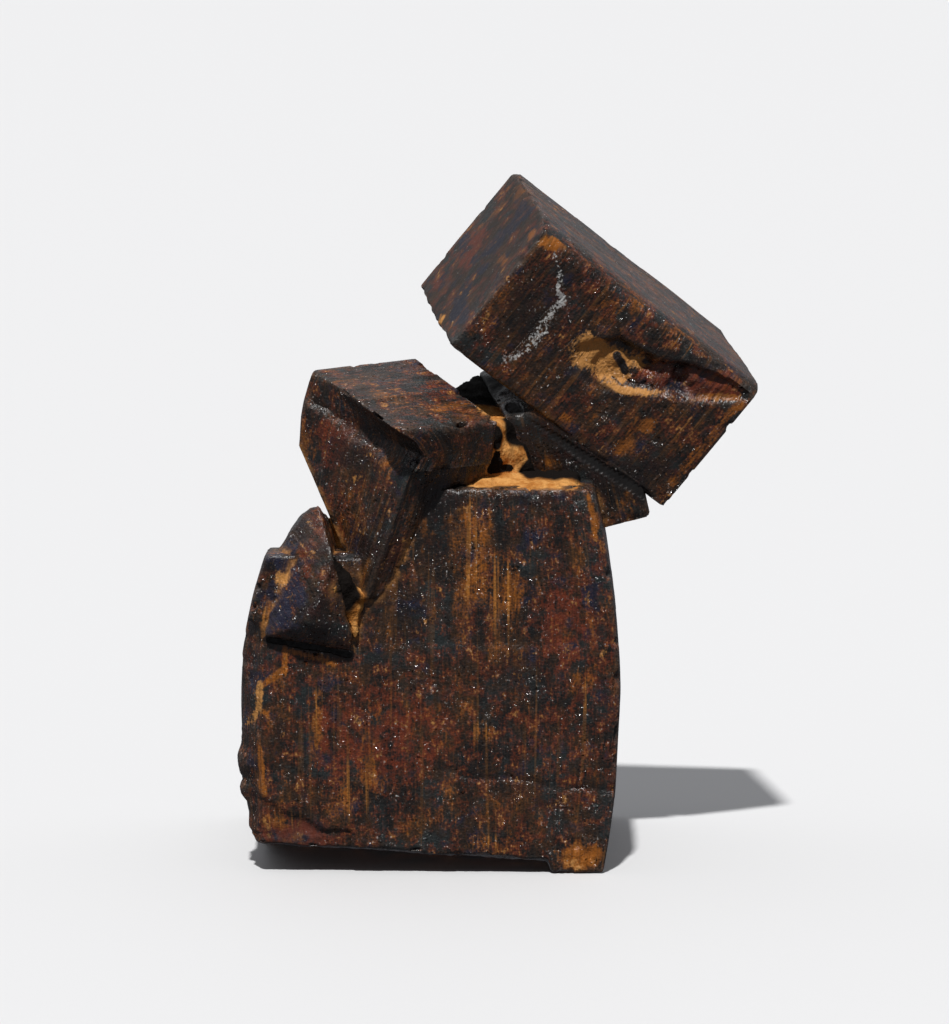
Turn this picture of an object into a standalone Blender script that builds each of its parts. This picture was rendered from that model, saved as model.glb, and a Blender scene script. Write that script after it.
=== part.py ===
"""Limonite pseudomorph after pyrite: a cluster of cubes grown through one another, standing on its base.

The cluster grew as one piece, so it is one solid. +Z is up and -Y is the front. The origin is on the
surface that the specimen stands on, under the middle of the large cube. The shapes are worked out in
millimetres, and the finished solid is brought to metres.
"""

import math
import random
from dataclasses import dataclass

import bmesh
import bpy
import numpy as np
from mathutils import Euler, Matrix, Vector

MM = 0.001
NODE_NAME = "crystal_cluster"

# The large cube: a block with upright barrel-shaped sides, lower at its left than at its right
LARGE_HALF_WIDTH = 12.7
LARGE_FRONT = -11.0
LARGE_BACK = 11.0
LARGE_TOP = 26.0
LARGE_LEFT_TOP = 21.6
LARGE_STEP_X = -3.5
SIDE_RADIUS = 60.0
WIDEST_AT = 11.5
SIDE_ARC_STEPS = 9
EDGE_BEVEL = 0.28

# The left front edge of the large cube is worn to a slope below the small cube
SLOPE_ACROSS = 1.45
SLOPE_DEEP = 2.4
SLOPE_TOP = 16.5

# The front of the base is broken away in a shallow slope, all but a tab at its right
TAB_LEFT = 8.1
BREAK_RISE_AT_TAB = 0.9
BREAK_RISE_PER_MM_LEFT = 0.064
BREAK_FALL_PER_MM_BACK = 0.176

# A shelf is split off the lower left of the front face
SHELF_DEPTH = 0.9
SHELF_OUTLINE = (
    (-13.6, 8.6), (-11.5, 8.2), (-11.2, 5.1), (-8.7, 4.2), (-6.7, 3.1), (-5.2, 3.2), (-5.3, 1.6),
    (-5.2, -1.0), (-13.6, -1.0),
)

# Angular lumps on the worn left edge: middle, and half its size along X, Y and Z
LEFT_LUMPS = (
    ((-11.7, -8.2, 9.3), (1.0, 1.4, 0.9)),
    ((-11.9, -7.7, 7.3), (1.25, 1.5, 1.1)),
    ((-11.8, -7.9, 5.5), (1.3, 1.3, 0.9)),
    ((-11.5, -7.2, 3.6), (1.0, 1.4, 1.1)),
    ((-10.9, -9.4, 6.6), (1.0, 0.9, 1.1)),
    ((-11.4, -8.9, 12.6), (0.8, 1.1, 1.4)),
    ((-11.3, -9.3, 15.2), (0.8, 0.9, 1.2)),
    ((-8.0, -10.2, 2.9), (1.9, 0.45, 0.8)),
    ((-10.2, -10.0, 3.6), (1.2, 0.5, 0.9)),
)

# The top left steps down towards the back, each step given by where it starts and its height
LEFT_STEPS = ((-7.73, 20.31), (-2.47, 18.23))

# Relief that repeats on every face
RIB_SINK = 0.25
LUMP_POINTS = 14
NICK_SIZE = (0.35, 0.95)

# The hollow worn into the tabular block's front, and the groove that leads from it to the right corner
PIT_CENTRE = (0.05, 0.25)
PIT_HALF_SIZE = (2.8, 1.95)
PIT_TURN = 33.0
PIT_DEPTH = 1.2
GROOVE_END = (8.75, 4.1)
GROOVE_HALF_WIDTH = 1.45
GROOVE_DEPTH = 0.9

# How far the edge between the tabular block's front and top is worn off, along both faces
TOP_EDGE_WEAR = 0.85


@dataclass(frozen=True)
class Cube:
    """One cube of the cluster: its sides, its middle, and its turn, nod back and lean in degrees."""

    size: tuple
    centre: tuple
    turn: float = 0.0
    nod: float = 0.0
    lean: float = 0.0

    def matrix(self):
        """From the cube's own frame to the specimen's: lean about Y, then nod about X, then turn about Z."""
        spin = (
            Matrix.Rotation(math.radians(self.turn), 4, "Z")
            @ Matrix.Rotation(math.radians(self.nod), 4, "X")
            @ Matrix.Rotation(math.radians(self.lean), 4, "Y")
        )
        return Matrix.Translation(self.centre) @ spin


TABULAR_BLOCK = Cube(size=(19.1, 13.5, 10.5), centre=(10.69, -0.04, 34.84), turn=9.7, nod=10.6, lean=38.0)
LEFT_CUBE = Cube(size=(8.4, 9.9, 12.6), centre=(-2.7, -7.0, 26.1), turn=35.2, nod=17.1, lean=-1.2)
MIDDLE_CUBE = Cube(size=(8.1, 12.0, 9.6), centre=(8.97, 0.3, 27.62), turn=9.5, nod=8.7, lean=-14.5)

# Heights in the left cube's own frame, how far its front corner is set back to the right there, and how far
# its left back corner bulges to the left
CORNER_HEIGHTS = (-6.3, -2.0, 0.3, 3.0, 4.2, 5.4, 6.3)
CORNER_INSETS = (0.5, 1.2, 1.6, 2.0, 2.5, 1.5, 0.0)
CORNER_BULGES = (0.0, 0.0, 0.35, 0.5, 0.45, 0.25, 0.0)

# The small cube at the left, worn to a wedge that stands out of the large cube's front: its corners
SMALL_CUBE_CORNERS = (
    (-7.95, -9.2, 24.6), (-7.4, -9.6, 24.7), (-9.3, -9.8, 23.0), (-9.75, -10.2, 21.9), (-6.5, -12.6, 21.9),
    (-7.1, -13.0, 19.5), (-8.1, -13.1, 17.5), (-11.0, -11.6, 16.2), (-8.7, -12.9, 16.8), (-5.2, -12.2, 15.2),
    (-5.2, -12.1, 16.2), (-10.7, -8.0, 20.8), (-10.7, -8.0, 15.4), (-5.5, -8.0, 18.1), (-6.7, -7.0, 23.4),
    (-5.4, -8.0, 14.7), (-8.7, -7.0, 23.7),
)
CORNER_CUBE = Cube(size=(2.3, 2.3, 2.3), centre=(1.9, -7.6, 26.6), turn=45.0, nod=6.0, lean=4.0)


@dataclass(frozen=True)
class RibField:
    """Ribs on one face of a block: the face's outward axis and level, and the lanes that the ribs keep to."""

    normal: int
    side: int
    level: float
    along: int
    lanes: tuple
    span: tuple
    count: int
    seed: int
    height: tuple = (0.05, 0.16)


def new_object(name, mesh_maker):
    """An object whose mesh is filled by mesh_maker(bm)."""
    bm = bmesh.new()
    mesh_maker(bm)
    bmesh.ops.recalc_face_normals(bm, faces=bm.faces)
    mesh = bpy.data.meshes.new(name)
    bm.to_mesh(mesh)
    bm.free()
    obj = bpy.data.objects.new(name, mesh)
    bpy.context.scene.collection.objects.link(obj)
    return obj


def combine(base, tool, operation):
    """Applies a Boolean of the tool to the base, and removes the tool."""
    modifier = base.modifiers.new(operation.lower(), "BOOLEAN")
    modifier.operation = operation
    modifier.solver = "EXACT"
    modifier.object = tool
    graph = bpy.context.evaluated_depsgraph_get()
    result = bpy.data.meshes.new_from_object(base.evaluated_get(graph))
    base.modifiers.clear()
    old, base.data = base.data, result
    bpy.data.meshes.remove(old)
    tool_mesh = tool.data
    bpy.data.objects.remove(tool)
    bpy.data.meshes.remove(tool_mesh)


def add_hull(bm, points):
    """Adds the convex hull of the points as one closed body."""
    corners = [bm.verts.new(p) for p in points]
    found = bmesh.ops.convex_hull(bm, input=corners)
    spare = [g for g in found["geom_interior"] + found["geom_unused"] if isinstance(g, bmesh.types.BMVert)]
    bmesh.ops.delete(bm, geom=list(set(spare)), context="VERTS")


def block_points(low, high):
    """The eight corners of a box."""
    return [(x, y, z) for x in (low[0], high[0]) for y in (low[1], high[1]) for z in (low[2], high[2])]


def side_x(height):
    """Half the width of the large cube at a height: its sides are arcs that are widest at WIDEST_AT."""
    return LARGE_HALF_WIDTH - (height - WIDEST_AT) ** 2 / (2 * SIDE_RADIUS)


def large_cube_outline():
    """The front outline of the large cube, anticlockwise from the bottom left."""
    right = [LARGE_TOP * i / SIDE_ARC_STEPS for i in range(SIDE_ARC_STEPS + 1)]
    left = [LARGE_LEFT_TOP * i / SIDE_ARC_STEPS for i in range(SIDE_ARC_STEPS, -1, -1)]
    step = [(LARGE_STEP_X + 1.6, LARGE_TOP), (LARGE_STEP_X, LARGE_LEFT_TOP)]
    return [(side_x(z), z) for z in right] + step + [(-side_x(z), z) for z in left]


def make_large_cube(bm):
    """The large cube before anything is broken off it: its outline drawn out from front to back."""
    face = bm.faces.new([bm.verts.new((x, LARGE_FRONT, z)) for x, z in large_cube_outline()])
    drawn = bmesh.ops.extrude_face_region(bm, geom=[face])
    moved = [g for g in drawn["geom"] if isinstance(g, bmesh.types.BMVert)]
    bmesh.ops.translate(bm, verts=moved, vec=(0, LARGE_BACK - LARGE_FRONT, 0))
    sharp = [e for e in bm.edges if len(e.link_faces) == 2 and e.calc_face_angle(0) > math.radians(40)]
    bmesh.ops.bevel(bm, geom=sharp, offset=EDGE_BEVEL, segments=1, affect="EDGES", clamp_overlap=True)


def make_cube(size, bevel):
    """A function that fills a mesh with a box of that size and bevelled edges, about its own middle."""

    def fill(bm):
        bmesh.ops.create_cube(bm, size=1.0)
        bmesh.ops.scale(bm, vec=size, verts=bm.verts)
        bmesh.ops.bevel(bm, geom=list(bm.edges), offset=bevel, segments=1, affect="EDGES")

    return fill


def add_rib(bm, field, across_at, start, end, width, height):
    """One rib: a low roof on the face, tapered at both ends, with its base sunk in the face."""
    across = 3 - field.normal - field.along

    def point(shift, along_at, out):
        p = [0.0, 0.0, 0.0]
        p[across] = across_at + shift
        p[field.along] = along_at
        p[field.normal] = field.side * (field.level + out)
        return p

    taper = min(0.35 * (end - start), 1.2)
    slant = 0.3 * width
    base = [point(s * width / 2, a, -RIB_SINK) for s in (-1, 1) for a in (start, end)]
    ridge = [point(slant, a, height) for a in (start + taper, end - taper)]
    add_hull(bm, base + ridge)


def make_ribs(fields):
    """A function that fills a mesh with the growth ribs of several faces, each rib in a lane of its own."""

    def fill(bm):
        for field in fields:
            rng = random.Random(field.seed)
            low, high = field.lanes
            lane = (high - low) / field.count
            for i in range(field.count):
                width = lane * rng.uniform(0.45, 0.8)
                across_at = low + lane * (i + 0.5) + rng.uniform(-0.08, 0.08) * lane
                length = field.span[1] - field.span[0]
                start = field.span[0] + length * rng.uniform(0.0, 0.3)
                end = start + (field.span[1] - start) * rng.uniform(0.5, 1.0)
                add_rib(bm, field, across_at, start, end, width, rng.uniform(*field.height))

    return fill


def ribs_for(cube, seed, front=True, side=True, top=True, spacing=1.1, margin=0.9):
    """Rib fields for a cube's faces: upright on front and back, level on the sides, and crosswise on top."""
    hx, hy, hz = (s / 2 for s in cube.size)
    fields = []
    for sign in (-1, 1):
        if front:
            lanes, span = (-hx + margin, hx - margin), (-hz + margin, hz - margin)
            fields.append(RibField(1, sign, hy, 2, lanes, span, round(2 * hx / spacing), seed))
        if side:
            lanes, span = (-hz + margin, hz - margin), (-hy + margin, hy - margin)
            fields.append(RibField(0, sign, hx, 1, lanes, span, round(2 * hz / spacing), seed + 1))
        seed += 2
    if top:
        lanes, span = (-hy + margin, hy - margin), (-hx + margin, hx - margin)
        fields.append(RibField(2, 1, hz, 0, lanes, span, round(2 * hy / spacing), seed))
    return fields


def plate_outline(low, high, rng):
    """A rectangle with each of its corners cut off by an amount of its own."""
    width, height = high[0] - low[0], high[1] - low[1]
    corners = (
        (low[0], low[1], 1, 1),
        (high[0], low[1], -1, 1),
        (high[0], high[1], -1, -1),
        (low[0], high[1], 1, -1),
    )
    outline = []
    for a, b, to_a, to_b in corners:
        outline.append((a + to_a * width * rng.uniform(0.02, 0.3), b))
        outline.append((a, b + to_b * height * rng.uniform(0.02, 0.3)))
    return outline


def add_plate(bm, normal, side, level, low, high, thickness, slope=0.25):
    """A growth layer on a face: a thin slab with sloping edges. low and high are its corners in the face."""
    others = [axis for axis in range(3) if axis != normal]
    rng = random.Random(round(100 * (abs(low[0]) + abs(high[1]) + thickness)))
    middle = [(low[i] + high[i]) / 2 for i in range(2)]
    points = []
    for a, b in plate_outline(low, high, rng):
        for shrink, out in ((0.0, -RIB_SINK), (0.0, 0.0), (slope, thickness)):
            p = [0.0, 0.0, 0.0]
            p[normal] = side * (level + out)
            p[others[0]] = a + math.copysign(shrink, middle[0] - a)
            p[others[1]] = b + math.copysign(shrink, middle[1] - b)
            points.append(p)
    add_hull(bm, points)


def make_plates(plates):
    """A function that fills a mesh with growth layers, each given as the arguments of add_plate."""

    def fill(bm):
        for plate in plates:
            add_plate(bm, *plate)

    return fill


def make_nicks(edges, seed):
    """A function that fills a mesh with small turned cubes along the edges, which nick them.

    Each edge is (start, end, how many). No two of the nicks of an edge touch.
    """

    def fill(bm):
        rng = random.Random(seed)
        for start, end, count in edges:
            start, end = Vector(start), Vector(end)
            for i in range(count):
                at = start.lerp(end, (i + rng.uniform(0.3, 0.7)) / count)
                size = rng.uniform(*NICK_SIZE)
                turn = Euler([rng.uniform(0, math.pi) for _ in range(3)]).to_matrix().to_4x4()
                sides = (rng.uniform(0.8, 1.5), rng.uniform(0.6, 1.0), rng.uniform(0.4, 0.8), 1.0)
                stretch = Matrix.Diagonal(sides)
                bmesh.ops.create_cube(bm, size=size, matrix=Matrix.Translation(at) @ turn @ stretch)

    return fill


def cube_edges(size, per_mm=0.22):
    """The twelve edges of a box as (start, end, number of nicks)."""
    half = [s / 2 for s in size]
    edges = []
    for axis in range(3):
        others = [a for a in range(3) if a != axis]
        for s in (-1, 1):
            for t in (-1, 1):
                start, end = [0.0] * 3, [0.0] * 3
                start[axis], end[axis] = -half[axis] + 0.6, half[axis] - 0.6
                for p in (start, end):
                    p[others[0]], p[others[1]] = s * half[others[0]], t * half[others[1]]
                edges.append((start, end, max(1, round(size[axis] * per_mm))))
    return edges


def make_pit(bm):
    """The hollow in the tabular block's front and its groove, a dish with a tail, in that block's frame."""
    front = -TABULAR_BLOCK.size[1] / 2
    rng = random.Random(17)
    rings, around = 4, 14
    centre = Vector((PIT_CENTRE[0], 0, PIT_CENTRE[1]))
    tail = Vector((GROOVE_END[0], 0, GROOVE_END[1]))
    points = []
    for ring in range(rings):
        share = ring / rings
        for i in range(around):
            angle = 2 * math.pi * i / around
            reach = math.cos(share * math.pi / 2) * rng.uniform(0.88, 1.08)
            across, up = math.cos(angle) * PIT_HALF_SIZE[0], math.sin(angle) * PIT_HALF_SIZE[1]
            offset = Vector((across, 0, up)) * reach
            p = centre + Matrix.Rotation(-math.radians(PIT_TURN), 3, "Y") @ offset
            p.y = front + PIT_DEPTH * math.sin(share * math.pi / 2)
            points.append(p)
    lift = Vector((0, -0.5, 0))
    blob = [Vector((p.x, front, p.z)) + lift for p in points[:around]]
    add_hull(bm, points + blob)
    rim = []
    for share, narrow in ((0.0, 1.0), (0.5, 0.8), (1.0, 0.25)):
        middle = centre.lerp(tail, share)
        across = GROOVE_HALF_WIDTH * narrow
        depth = GROOVE_DEPTH * (1.0 - 0.6 * share)
        profile = ((-across, -0.4), (across, -0.4), (-across, 0.0), (across, 0.0), (0.2 * across, depth))
        for shift, out in profile:
            rim.append(Vector((middle.x, front + out, middle.z + shift)))
    groove = new_object("groove", lambda tool: add_hull(tool, rim))
    blob_object = new_object("hollow", lambda tool: tool.from_mesh(mesh_of(bm)))
    combine(blob_object, groove, "UNION")
    bm.clear()
    bm.from_mesh(blob_object.data)
    bpy.data.objects.remove(blob_object)


def mesh_of(bm):
    """A mesh holding what bm holds."""
    mesh = bpy.data.meshes.new("held")
    bm.to_mesh(mesh)
    return mesh


def build_cube(name, cube, bevel, fields, plates, seed, cut=None, bend=None):
    """A cube with its growth layers, ribs and nicked edges, in the specimen's frame.

    bend changes its mesh in its own frame, and cut is what a break took off, in the specimen's frame.
    """
    body = new_object(name, make_cube(cube.size, bevel))
    for plate in plates:
        combine(body, new_object(name + "_plate", make_plates([plate])), "UNION")
    if bend:
        bend(body.data)
    if cut:
        lost = new_object(name + "_lost", cut)
        lost.data.transform(cube.matrix().inverted())
        combine(body, lost, "DIFFERENCE")
    combine(body, new_object(name + "_ribs", make_ribs(fields)), "UNION")
    combine(body, new_object(name + "_nicks", make_nicks(cube_edges(cube.size), seed)), "DIFFERENCE")
    body.data.transform(cube.matrix())
    return body


def build_large_cube():
    """The large cube with its ribs, worn edge, split shelf and broken base."""
    body = new_object("large_cube", make_large_cube)
    front, back = -LARGE_FRONT, LARGE_BACK
    deep = (LARGE_FRONT + 1.6, LARGE_BACK - 1.6)
    ribs = [
        RibField(1, -1, front, 2, (-4.9, 11.4), (1.7, 9.6), 23, 3),
        RibField(1, -1, front, 2, (-4.9, 11.4), (9.9, 17.4), 23, 13),
        RibField(1, -1, front, 2, (0.4, 10.0), (17.7, 25.3), 14, 4),
        RibField(1, -1, front, 2, (-10.8, -5.1), (5.7, 11.0), 8, 5),
        RibField(1, -1, front, 2, (-10.8, -5.1), (11.3, 15.0), 8, 15),
        RibField(1, 1, back, 2, (-11.0, 11.0), (1.6, 20.6), 20, 6),
        RibField(1, 1, back, 2, (-0.4, 9.4), (20.8, 25.2), 7, 7),
        RibField(2, 1, LEFT_STEPS[1][1], 0, (-1.6, 10.2), (-10.8, -3.4), 10, 8),
        RibField(2, 1, LARGE_TOP, 0, (-1.0, 9.5), (-1.0, 9.8), 8, 9),
    ]
    combine(body, new_object("ribs", make_ribs(ribs)), "UNION")
    for side, top, seed in ((-1, LARGE_LEFT_TOP, 10), (1, LARGE_TOP, 11)):
        combine(body, new_object("side_ribs", make_side_ribs(side, top, deep, seed)), "UNION")
    for step in LEFT_STEPS:
        combine(body, new_object("left_step", make_left_step(*step)), "DIFFERENCE")
    for make in (make_slope, make_shelf, make_base_break):
        combine(body, new_object(make.__name__, make), "DIFFERENCE")
    for seed, lump in enumerate(LEFT_LUMPS):
        combine(body, new_object("lump", make_lump(*lump, seed)), "UNION")
    combine(body, new_object("nicks", make_nicks(large_cube_edges(), 12)), "DIFFERENCE")
    return body


def make_side_ribs(side, top, deep, seed):
    """Level ribs on one of the large cube's upright barrel-shaped sides."""

    def fill(bm):
        rng = random.Random(seed)
        count = round(top / 1.25)
        for i in range(1, count):
            height = top * (i + rng.uniform(-0.15, 0.15)) / count
            if i == count - 1 or height < 1.2:
                continue
            field = RibField(0, side, side_x(height), 1, (0, 1), deep, 1, seed)
            start = rng.uniform(deep[0], deep[0] + 8)
            end = rng.uniform(start + 5, deep[1])
            add_rib(bm, field, height, start, end, rng.uniform(0.5, 0.85), rng.uniform(0.06, 0.17))

    return fill


def large_cube_edges():
    """Edges of the large cube that are nicked: the front and back uprights, the top edges and the base."""
    edges = []
    for y in (LARGE_FRONT, LARGE_BACK):
        for low, high, count in ((1.5, 9.0, 2), (10.0, 17.0, 2), (18.0, 25.0, 2)):
            edges.append(((side_x(low), y, low), (side_x(high), y, high), count))
        edges.append(((-side_x(17.5), y, 17.5), (-side_x(21.5), y, 21.5), 1))
        edges.append(((0.5, y, LARGE_TOP), (9.5, y, LARGE_TOP), 3))
    edges.append(((-11.0, LARGE_BACK, LARGE_LEFT_TOP), (-5.0, LARGE_BACK, LARGE_LEFT_TOP), 2))
    edges.append(((-10.5, LARGE_BACK, 0.0), (10.5, LARGE_BACK, 0.0), 5))
    return edges


def make_slope(bm):
    """What is worn off the left front edge."""
    reach = LARGE_HALF_WIDTH + 1
    across = LARGE_HALF_WIDTH - SLOPE_ACROSS
    outline = [
        (-across, LARGE_FRONT - 0.01),
        (-across, LARGE_FRONT - 1),
        (-reach, LARGE_FRONT - 1),
        (-reach, LARGE_FRONT + SLOPE_DEEP + 1.4),
        (-LARGE_HALF_WIDTH, LARGE_FRONT + SLOPE_DEEP),
    ]
    add_hull(bm, [(x, y, z) for x, y in outline for z in (-1.0, SLOPE_TOP)])


def make_shelf(bm):
    """What is split off the lower left of the front face, from in front of it to the shelf's floor."""
    face = bm.faces.new([bm.verts.new((x, LARGE_FRONT - 1.0, z)) for x, z in SHELF_OUTLINE])
    drawn = bmesh.ops.extrude_face_region(bm, geom=[face])
    for vert in (g for g in drawn["geom"] if isinstance(g, bmesh.types.BMVert)):
        deeper = 0.06 * max(0.0, -5.0 - vert.co.x)
        vert.co.y = LARGE_FRONT + SHELF_DEPTH + deeper


def make_base_break(bm):
    """What is broken off under the front: the underside slopes down from the front edge to the flat base."""
    left, right = -LARGE_HALF_WIDTH - 1, TAB_LEFT
    points = []
    for x in (left, right):
        rise = BREAK_RISE_AT_TAB + BREAK_RISE_PER_MM_LEFT * (TAB_LEFT - x)
        front = LARGE_FRONT - 1.0
        points.append((x, front, rise + BREAK_FALL_PER_MM_BACK))
        points.append((x, front, -1.0))
        points.append((x, LARGE_FRONT + (rise + 1.0) / BREAK_FALL_PER_MM_BACK, -1.0))
    add_hull(bm, points)


def make_lump(centre, half, seed):
    """A function that fills a mesh with one angular lump: the hull of points scattered over an ellipsoid."""

    def fill(bm):
        rng = random.Random(seed)
        points = []
        for i in range(LUMP_POINTS):
            up = 1 - 2 * (i + 0.5) / LUMP_POINTS
            angle = 2.4 * i + rng.uniform(-0.3, 0.3)
            around = math.sqrt(1 - up * up)
            reach = rng.uniform(0.85, 1.15)
            way = (math.cos(angle) * around, math.sin(angle) * around, up)
            points.append([c + h * w * reach for c, h, w in zip(centre, half, way)])
        add_hull(bm, points)

    return fill


def make_left_step(start, height):
    """A function that fills a mesh with what is missing above one step of the lower left top."""

    def fill(bm):
        low = (-LARGE_HALF_WIDTH - 1, start, height)
        high = (LARGE_STEP_X + 1.37, LARGE_BACK + 1, LARGE_TOP + 1)
        add_hull(bm, block_points(low, high))

    return fill


def bend_left_cube(mesh):
    """Sets the left cube's front corner back to the right and bulges its left back corner out."""
    hx, hy = LEFT_CUBE.size[0] / 2, LEFT_CUBE.size[1] / 2
    bm = bmesh.new()
    bm.from_mesh(mesh)
    for height in CORNER_HEIGHTS[1:-1]:
        geometry = bm.verts[:] + bm.edges[:] + bm.faces[:]
        bmesh.ops.bisect_plane(bm, geom=geometry, plane_co=(0, 0, height), plane_no=(0, 0, 1))
    bmesh.ops.triangulate(bm, faces=bm.faces)
    for vert in bm.verts:
        forward = float(np.clip((hy - vert.co.y) / (2 * hy), 0, 1))
        outward = float(np.clip((hx - vert.co.x) / (2 * hx), 0, 1))
        inset = float(np.interp(vert.co.z, CORNER_HEIGHTS, CORNER_INSETS))
        bulge = float(np.interp(vert.co.z, CORNER_HEIGHTS, CORNER_BULGES))
        vert.co.x += outward * (inset * forward - bulge * (1 - forward))
    bm.to_mesh(mesh)
    bm.free()


def build_left_cube():
    """The cube at the upper left: a cap over its recessed right face, and a layer on its left face."""
    hx, hy, hz = (s / 2 for s in LEFT_CUBE.size)
    plates = [
        (0, -1, hx, (-hy + 0.05, -hz + 0.1), (hy - 0.4, 2.6), 0.4),
        (1, -1, hy, (-hx + 0.1, 3.0), (hx - 0.1, hz - 0.05), 0.5),
        (2, 1, hz, (-hx + 0.3, -0.6), (hx - 1.4, hy - 0.3), 0.22),
    ]
    fields = [
        RibField(2, 1, hz, 0, (-hy + 0.5, -0.9), (-hx + 0.5, hx - 0.5), 4, 21),
        RibField(2, 1, hz + 0.22, 0, (-0.2, hy - 0.8), (-hx + 0.8, hx - 2.0), 5, 22),
        RibField(0, 1, hx, 1, (-hz + 1, hz - 1), (-hy + 1, hy - 1), 8, 23),
        RibField(1, 1, hy, 2, (-hx + 1, hx - 1), (-hz + 1, hz - 1), 6, 24),
    ]
    return build_cube("left_cube", LEFT_CUBE, 0.3, fields, plates, 25, make_left_cube_cut, bend_left_cube)


def make_tabular_clearance(bm):
    """What the middle cube lacks inside the tabular block, so that it meets only that block's lower face."""
    half = [s / 2 for s in TABULAR_BLOCK.size]
    low = (-half[0] - 8, -half[1] - 8, -half[2] + 0.31)
    high = (half[0] + 8, half[1] + 8, half[2])
    matrix = TABULAR_BLOCK.matrix()
    add_hull(bm, [matrix @ Vector(p) for p in block_points(low, high)])


def make_left_cube_cut(bm):
    """What the left cube lacks at its lower left, where it narrows to a tip between its neighbours."""
    line = ((-9.37, 29.61), (-2.63, 14.83), (-8.6, 12.1), (-15.3, 26.9))
    add_hull(bm, [(x, y, z) for x, z in line for y in (-20.03, 3.07)])


def build_tabular_block():
    """The thick tabular block at the top, with growth layers, a worn hollow and nicked edges."""
    hx, hy, hz = (s / 2 for s in TABULAR_BLOCK.size)
    plates = [
        (1, 1, hy, (-hx + 2.2, -hz + 1.5), (hx - 2.0, hz - 1.0), 0.35),
        (2, -1, hz, (-hx + 1.0, -hy + 3.0), (hx - 5.0, hy - 1.0), 0.3),
    ]
    fields = [
        RibField(1, -1, hy, 2, (-hx + 0.9, -3.4), (-hz + 0.8, hz - 1.2), 8, 31, (0.04, 0.1)),
        RibField(1, -1, hy, 2, (-3.0, hx - 1.0), (-hz + 0.8, -2.4), 16, 36, (0.04, 0.1)),
        RibField(1, 1, hy + 0.35, 2, (-hx + 2.8, hx - 2.6), (-hz + 2.1, hz - 1.6), 13, 32),
        RibField(0, 1, hx, 1, (-hz + 1, hz - 1), (-hy + 1, hy - 1), 8, 33),
        RibField(2, 1, hz, 0, (-hy + 1.3, hy - 1.8), (-hx + 1.4, hx - 2.0), 10, 34),
    ]
    body = build_cube("tabular_block", TABULAR_BLOCK, 0.4, fields, plates, 35)
    for make in (make_top_edge_wear, make_pit):
        tool = new_object(make.__name__, make)
        tool.data.transform(TABULAR_BLOCK.matrix())
        combine(body, tool, "DIFFERENCE")
    return body


def make_top_edge_wear(bm):
    """What is worn off the edge between the tabular block's front and top, in that block's frame."""
    hx, hy, hz = (s / 2 for s in TABULAR_BLOCK.size)
    outline = [(-hy - 1, hz + 1), (-hy - 1, hz - TOP_EDGE_WEAR - 1), (-hy + TOP_EDGE_WEAR + 1, hz + 1)]
    add_hull(bm, [(x, y, z) for y, z in outline for x in (-hx - 1, hx + 1)])


def make_crust(hulls):
    """A function that fills a mesh with one wedge of earthy crust."""

    def fill(bm):
        add_hull(bm, hulls)

    return fill


# Earthy crust that fills the corners between the cubes, each wedge given by its corners
CRUST_WEDGES = (
    # Along the top of the large cube, rising against the middle cube
    (
        (-1.2, -10.5, 25.5), (10.0, -10.5, 25.5), (-1.2, -10.4, 26.1), (9.9, -10.4, 26.0),
        (-1.0, -6.4, 27.2), (9.8, -6.0, 26.5), (10.0, -3.5, 25.5), (-1.0, -3.5, 25.5),
    ),
    # Between the left cube and the middle cube
    (
        (3.6, -9.4, 30.1), (5.6, -6.0, 30.2), (2.0, -9.8, 27.0), (7.2, -6.1, 26.3),
        (4.4, -8.4, 26.3), (1.4, -6.0, 27.0), (4.0, -5.0, 30.0),
    ),
    # Between the same two cubes, further back
    (
        (0.0, -4.0, 30.5), (1.3, -2.0, 31.5), (3.1, 4.4, 31.9), (5.1, -6.6, 30.1), (0.8, -4.0, 25.5),
        (4.6, 3.4, 25.5), (6.6, -5.0, 25.5), (2.2, 1.5, 25.5), (5.4, 3.0, 30.5), (6.2, -5.0, 29.5),
    ),
    # Between the left cube and the small cube
    (
        (-6.7, -12.0, 22.0), (-4.4, -11.7, 18.7), (-4.9, -11.5, 15.9), (-6.6, -12.5, 19.4),
        (-5.4, -9.6, 15.8), (-4.2, -9.6, 19.0), (-7.2, -9.4, 22.0),
    ),
    # Behind the left cube, on the lower top
    (
        (-9.2, -4.8, 20.2), (-3.6, 3.4, 18.1), (-8.8, -4.4, 21.9), (-3.7, 2.6, 22.8),
        (-1.9, 0.3, 25.4), (-3.9, -4.1, 25.1), (-1.1, 1.2, 18.1), (-1.1, -6.0, 18.2),
    ),
    # Under the tabular block, against the middle cube
    (
        (5.4, 2.0, 31.2), (9.6, 4.4, 31.4), (5.6, 6.4, 30.9),
        (8.4, 7.6, 29.0), (5.6, 6.0, 27.6), (12.6, 6.2, 27.4),
    ),
)


def limonite():
    """The finish: dark brown, satin."""
    material = bpy.data.materials.new("limonite")
    material.use_nodes = True
    shader = material.node_tree.nodes["Principled BSDF"]
    shader.inputs["Base Color"].default_value = (0.085, 0.035, 0.015, 1.0)
    shader.inputs["Roughness"].default_value = 0.38
    shader.inputs["Metallic"].default_value = 0.0
    material.diffuse_color = (0.085, 0.035, 0.015, 1.0)
    return material


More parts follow.
